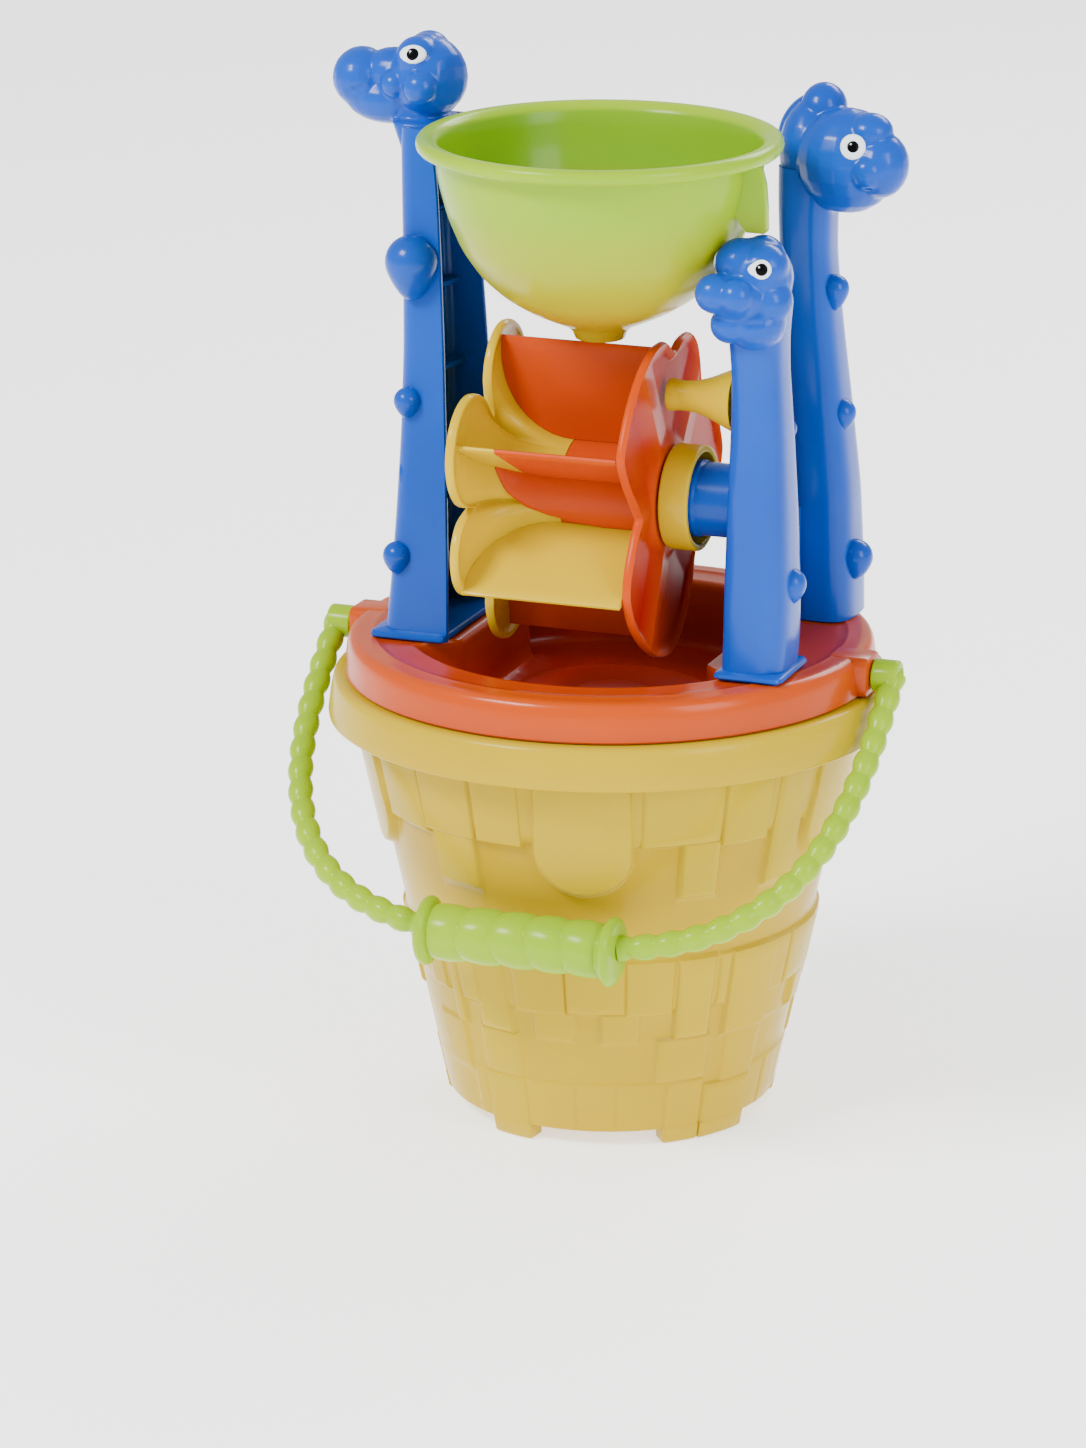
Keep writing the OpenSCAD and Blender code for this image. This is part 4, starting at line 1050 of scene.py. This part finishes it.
def pinwheel_edge():
    table = np.array(PINWHEEL, float)
    edge = np.interp((np.degrees(WHEEL_TURNS) - 4) % 360 + 4, table[:, 0], table[:, 1])
    return evened(edge, 11)


FOLDS = (30, 93, 158, 226, 266, 322)


def right_disc():
    edge = pinwheel_edge()
    degrees = np.degrees(WHEEL_TURNS)

    def outer_face(radius):
        """Height of the outer face between 0 and 1, for each direction at a radius."""
        raised = np.maximum(smooth_step(1 - (edge - radius - 1.2) / 2.2),
                            smooth_step(1 - (radius - SLEEVE_R - 1.0) / 5))
        for fold in FOLDS:
            arc = np.abs((degrees - fold + 180) % 360 - 180) * np.radians(1) * radius
            raised = np.maximum(raised, 0.8 * np.clip(1 - arc / 11.0, 0, 1))
        return raised

    # Painted shade for each ring: the sleeve's end, the back face and the low parts of the outer face between lobes
    # and folds are painted darker.
    levels, deep = [], []

    def add(radius, place, depth=0.0):
        levels.append((radius, place))
        deep.append(np.broadcast_to(depth, WHEEL_TURNS.shape))

    add(14.1, FLARE_END + 0.1, 0.6)
    add(SLEEVE_R - 0.3, FLARE_END + 0.1)
    add(SLEEVE_R, FLARE_END + 0.5)
    add(SLEEVE_R, DISC_RIGHT - 1.2)
    add(SLEEVE_R + 0.6, DISC_RIGHT - 0.1, 0.2)
    for share in (0.25, 0.5, 0.75):
        add(SLEEVE_R + (edge - 3 - SLEEVE_R) * share, DISC_RIGHT + 0.05, 0.25)
    for inset, x in ((1.6, 0.05), (0.5, 0.3), (0.0, 1.1), (0.1, 2.4), (0.7, 3.3)):
        add(edge - inset, DISC_RIGHT + x)
    for share in np.linspace(0.97, 0.0, 24):
        radius = SLEEVE_R - 3 + (edge - 1.0 - SLEEVE_R + 3) * share
        raised = outer_face(radius)
        add(radius, DISC_RIGHT + 1.6 + 2.0 * raised,
            0.9 * (1 - raised) * (0.55 + 0.45 * np.sin(3 * WHEEL_TURNS) ** 2))
    add(14.1, DISC_RIGHT + 3.5, 0.3)
    return joined_rows(wheel_rows(levels), loop=True), np.concatenate(deep)


right_part, right_depth = right_disc()
piece("right_wheel_disc", right_part, "wheel", WHEEL_ORANGE, ["wheel_right_disc"], depth=right_depth)

# %% Cup, post and axle
cup_profile = soft_profile([(14, 31.5), (18.4, 31.5), (18.4, 42), (16, 42), (16, 33.9), (14, 33.9)], 0.9)
piece("retaining_ring", joined_rows(turned(cup_profile, AXLE, count=80), loop=True), "wheel", WHEEL_YELLOW,
      ["retaining_cup"])
post_axis = (-26.5, 267.42)
post_profile = [(0.5, 30.75), (4.6, 30.8), (5.5, 31.2), (5.75, 32), (5.3, 34.5), (5.2, 37), (5.6, 41),
                (6.6, 44.5), (8, 48), (9.6, 51.5), (10.9, 54.5), (11.4, 56), (0.5, 56)]
piece("trumpet_post", capped(turned(post_profile, post_axis, count=56)), "tray_tower", WHEEL_YELLOW,
      ["guide_post"])
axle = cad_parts["wheel_axle"]
axle.data.materials.clear()
axle.data.materials.append(AXLE_WHITE)
bevel = axle.modifiers.new("edge radius", "BEVEL")
bevel.width = 0.4 * MM
bevel.segments = 3
bevel.limit_method = "ANGLE"
bevel.angle_limit = radians(40)
bevel.harden_normals = False

# %% [markdown]
# ## The funnel
# The funnel is a deep round bowl with a rolled lip and a short spout, thin enough to glow a little. A
# lathe makes it in one go, inside and outside. A clip under the lip on the right rests on the short head.

# %% Bowl, lip and spout
BOWL_LINE = [(8.6, 284.4), (8.8, 286.6), (10.6, 288.5), (17, 291), (25, 294.6), (33.4, 299.8), (41.4, 307.2),
             (47.8, 316.6),
             (52.4, 327.8), (55.4, 339.5), (56.84, 349.7)]
BOWL_ROWS = 30


def bowl_curve():
    """The bowl's outside, as a smooth line through its points."""
    table = np.array(BOWL_LINE, float)
    length = np.concatenate([[0], np.cumsum(np.linalg.norm(np.diff(table, axis=0), axis=1))])
    at = np.linspace(0, length[-1], BOWL_ROWS * 4)
    fine = np.stack([np.interp(at, length, table[:, k]) for k in (0, 1)], axis=1)
    for _ in range(14):
        fine[1:-1] = (fine[:-2] + 2 * fine[1:-1] + fine[2:]) / 4
    return fine[::4]


def funnel_profile():
    line = bowl_curve()
    lip = [(57.2, 349.9), (58.4, 350.0), (60.4, 349.75), (61.9, 350.2), (62.75, 351.2), (63.0, 352.4), (62.8, 353.7),
           (62.1, 354.7), (60.9, 355.25), (59, 355.2), (57.2, 354.5), (56, 353.4), (55.3, 352)]
    inside = [(max(r - 1.8, 6.8), z + 0.4) for r, z in line[::-1]]
    return [(7.6, 284.2), (8.3, 284.2), *map(tuple, line), *lip, *inside, (6.8, 284.8), (7.1, 284.3)]


FUNNEL_TURNS, OUTER_ROWS = 96, BOWL_ROWS + 14
profile = funnel_profile()
# Painted shade: the bowl's inside is painted darker, and its outside darker towards the spout.
funnel_depth = []
for row, (radius, z) in enumerate(profile):
    depth = 0.75 if row >= OUTER_ROWS else 0.35 * float(smooth_step((320 - z) / 25))
    funnel_depth += [depth] * FUNNEL_TURNS
bowl = joined_rows(turned(profile, LIP_CENTRE, along="z", count=FUNNEL_TURNS), loop=True)


def funnel_clip():
    """The rib under the lip that stands over the short head."""
    line = np.array(BOWL_LINE)
    outline = []
    for z in np.linspace(350.6, 333.0, 8):
        reach = np.interp(z, line[:, 1], line[:, 0]) - 0.9
        outline.append((LIP_CENTRE[0] + sqrt(max(0, reach ** 2 - 81)), z))
    outline += [(59.4, 328.6), (60.6, 327.45), (66.8, 327.45), (67.6, 328.4), (67.4, 336.0), (66.8, 344.0),
                (65.6, 348.6), (64.4, 350.6)]
    middle = np.mean(outline, axis=0)
    return capped([[(x + (middle[0] - x) * shrink * 0.08, y, z + (middle[1] - z) * shrink * 0.04) for x, z in outline]
                   for y, shrink in ((-33.2, 0.5), (-32.8, 0.0), (-29.2, 0.0), (-28.8, 0.5))])


funnel_part = merged(bowl, funnel_clip())
# The clip gets a little painted shade.
funnel_depth += [0.2] * (len(funnel_part[0]) - len(funnel_depth))
piece("funnel_bowl", funnel_part, "funnel", FUNNEL_LIME_PAINTED_BOUNCE, ["funnel"], depth=funnel_depth)

# %% [markdown]
# ## The bail
# The handle looks like thick twisted rope with a fatter grip. It hangs in a slanted plane through its
# pins. The arms follow a squarish arch, and the rope is a tube along it whose radius swells once for
# each bead, with the swell turned a little round the tube so that the beads look twisted.

# %% Arms along the arch
ARM_REACH, BAIL_L, BAIL_ANGLE, PIVOT_Z, ARM_POWER, BEADS, GRIP_HALF = 104.5, 121.5, 49, 166.3, 3, 17, 36
SIN_BAIL, COS_BAIL = sin(radians(BAIL_ANGLE)), cos(radians(BAIL_ANGLE))
end_share = (1 - (GRIP_HALF / ARM_REACH) ** ARM_POWER) ** (1 / ARM_POWER)


def in_bail(x, across, down):
    """A point of the bail's plane: place along X, off the plane, and down along it."""
    return np.array([x, -down * SIN_BAIL - across * COS_BAIL, PIVOT_Z - down * COS_BAIL + across * SIN_BAIL])
ROPE_ROWS, ROPE_R, ROPE_SWELL = 220, 3.45, 1.15


def arm_curve():
    u = np.linspace(0, 1, 2000)
    s = end_share * np.sin(np.pi / 2 * u)
    x = ARM_REACH * (1 - s ** ARM_POWER) ** (1 / ARM_POWER)
    path = np.stack([x, s * BAIL_L], axis=1)
    length = np.concatenate([[0], np.cumsum(np.linalg.norm(np.diff(path, axis=0), axis=1))])
    at = np.linspace(0, length[-1], ROPE_ROWS)
    return np.stack([np.interp(at, length, path[:, k]) for k in (0, 1)], axis=1), at, length[-1]


def rope_arm(side):
    path, at, total = arm_curve()
    step = total / BEADS
    rows = []
    angles = full_turn(24)
    for i, (x, down) in enumerate(path):
        ahead = path[min(i + 1, len(path) - 1)] - path[max(i - 1, 0)]
        ahead /= np.linalg.norm(ahead)
        normal = np.array([ahead[1], -ahead[0]])
        phase = at[i] / step * 2 * np.pi
        swell = np.abs(np.cos((phase - 0.8 * np.sin(angles + 0.6)) / 2)) ** 0.9
        radius = ROPE_R + ROPE_SWELL * swell
        ring = []
        for angle, r in zip(angles, radius):
            p = np.array([x, down]) + normal * r * cos(angle)
            q = in_bail(p[0], r * sin(angle), p[1])
            ring.append((side * q[0], q[1], q[2]))
        rows.append(ring)
    return capped(rows)


def arm_eye(side):
    """The boss at the arm's end, with a dimple where the pin was closed."""
    profile = soft_profile([(0.4, 97.7), (5.9, 97.7), (5.9, 106.6), (3.4, 107.2), (2.8, 106.2), (0.4, 106.2)], 0.8,
                           closed=False)
    part = capped(turned(profile, (0.0, PIVOT_Z), count=48))
    pin = capped(turned([(0.4, 90), (2.8, 90), (3, 90.6), (3, 98)], (0, PIVOT_Z), count=32))
    return merged(part, pin) if side > 0 else mirrored(merged(part, pin))


for side, name in ((-1, "left"), (1, "right")):
    piece(f"rope_{name}", merged(rope_arm(side), arm_eye(side)), "handle", LIME, [f"handle_arm_{name}"])


# %% The grip, a fat twist between two round flanges
FLANGE = ((36, 3), (36, 8.6), (35.8, 10.4), (35, 11.7), (33.8, 12.15), (32.6, 11.7), (31.8, 10.4),
          (31.3, 9.2))
GRIP_R, GRIP_SWELL, TWIST_STEP = 8.7, 1.25, 12.6


def grip():
    centre = in_bail(0.0, 0.0, BAIL_L)
    angles = full_turn(64)

    def ring(x, radius):
        return np.stack([np.full(64, x), centre[1] - radius * np.sin(angles), centre[2] + radius * np.cos(angles)],
                        axis=1)

    rows = [ring(-x, r) for x, r in FLANGE]
    for x in np.linspace(-31.0, 31.0, 140):
        phase = x / TWIST_STEP * 2 * np.pi + 0.9 * np.sin(angles + 0.8) + 0.35 * np.sin(2 * angles + x / 9)
        swell = np.abs(np.cos(phase / 2)) ** 0.55
        rows.append(ring(x, GRIP_R + GRIP_SWELL * swell))
    return capped(rows + [ring(x, r) for x, r in FLANGE[::-1]])


piece("rope_grip", grip(), "handle", LIME, ["handle_grip"])

# %% [markdown]
# ## Floor, light and camera
# The picture is a studio shot on white: a pale floor that runs out of sight, a big soft light from the
# upper left, a fill from the right and a little light from behind. The camera looks from the front and
# a little to the right, about 17 degrees down, from two metres away with a long lens.

# %% The floor
floor_finish = bpy.data.materials.new("studio floor")
floor_finish.use_nodes = True
floor_nodes = floor_finish.node_tree
noise = new_node(floor_nodes, "ShaderNodeTexNoise", {"Scale": 3.0})
tone = new_node(floor_nodes, "ShaderNodeMapRange", {"Value": noise.outputs["Fac"], "To Min": 0.5, "To Max": 0.6})
fill(floor_nodes, floor_nodes.nodes["Principled BSDF"], {
    "Roughness": tone.outputs["Result"], "Base Color": (0.93, 0.93, 0.93, 1),
    "Emission Color": (1, 1, 1, 1), "Emission Strength": 1.25})
floor_mesh = bpy.data.meshes.new("floor")
floor_mesh.from_pydata([(-15, -15, 0), (15, -15, 0), (15, 15, 0), (-15, 15, 0)], [], [(0, 1, 2, 3)])
floor_mesh.materials.append(floor_finish)
floor = bpy.data.objects.new("floor", floor_mesh)
bpy.context.scene.collection.objects.link(floor)

# %% The lights
world = bpy.data.worlds.new("studio")
world.use_nodes = True
fill(world.node_tree, world.node_tree.nodes["Background"], {"Color": (1, 1, 1, 1), "Strength": 0.85})
bpy.context.scene.world = world


def soft_light(name, place, target, power, width, height):
    lamp = bpy.data.lights.new(name, "AREA")
    lamp.shape = "RECTANGLE"
    lamp.size, lamp.size_y = width, height
    lamp.energy = power
    holder = bpy.data.objects.new(name, lamp)
    holder.location = place
    holder.rotation_euler = (Vector(target) - Vector(place)).to_track_quat("-Z", "Y").to_euler()
    bpy.context.scene.collection.objects.link(holder)


soft_light("key", (-1.0, -1.5, 1.9), (0, 0, 0.2), 85, 0.8, 0.6)
soft_light("fill", (1.7, -0.9, 1.1), (0, 0, 0.2), 30, 0.8, 1.2)
soft_light("back", (0.4, 1.8, 1.5), (0, 0, 0.25), 30, 1.4, 0.6)

# %% The camera, looking from the photograph's place
AZIMUTH, ELEVATION, DISTANCE = radians(20), radians(17), 2.2
AIM = Vector((0, 0, 0.1382))
FOCAL_PX, IMAGE_W, IMAGE_H, AIM_X = 6204.0, 1086, 1448, 611.0
look = Vector((-sin(AZIMUTH) * cos(ELEVATION), cos(AZIMUTH) * cos(ELEVATION), -sin(ELEVATION)))
right = Vector((cos(AZIMUTH), sin(AZIMUTH), 0))
up = right.cross(look)
lens = bpy.data.cameras.new("camera")
lens.sensor_fit = "VERTICAL"
lens.sensor_height = 36.0
lens.lens = 36.0 * FOCAL_PX / IMAGE_H
lens.shift_x = -(AIM_X - IMAGE_W / 2) / IMAGE_H
lens.clip_end = 60
camera = bpy.data.objects.new("camera", lens)
turn = Matrix((right, up, -look)).transposed()
camera.matrix_world = Matrix.Translation(AIM - look * DISTANCE) @ turn.to_4x4()
bpy.context.scene.collection.objects.link(camera)
bpy.context.scene.camera = camera
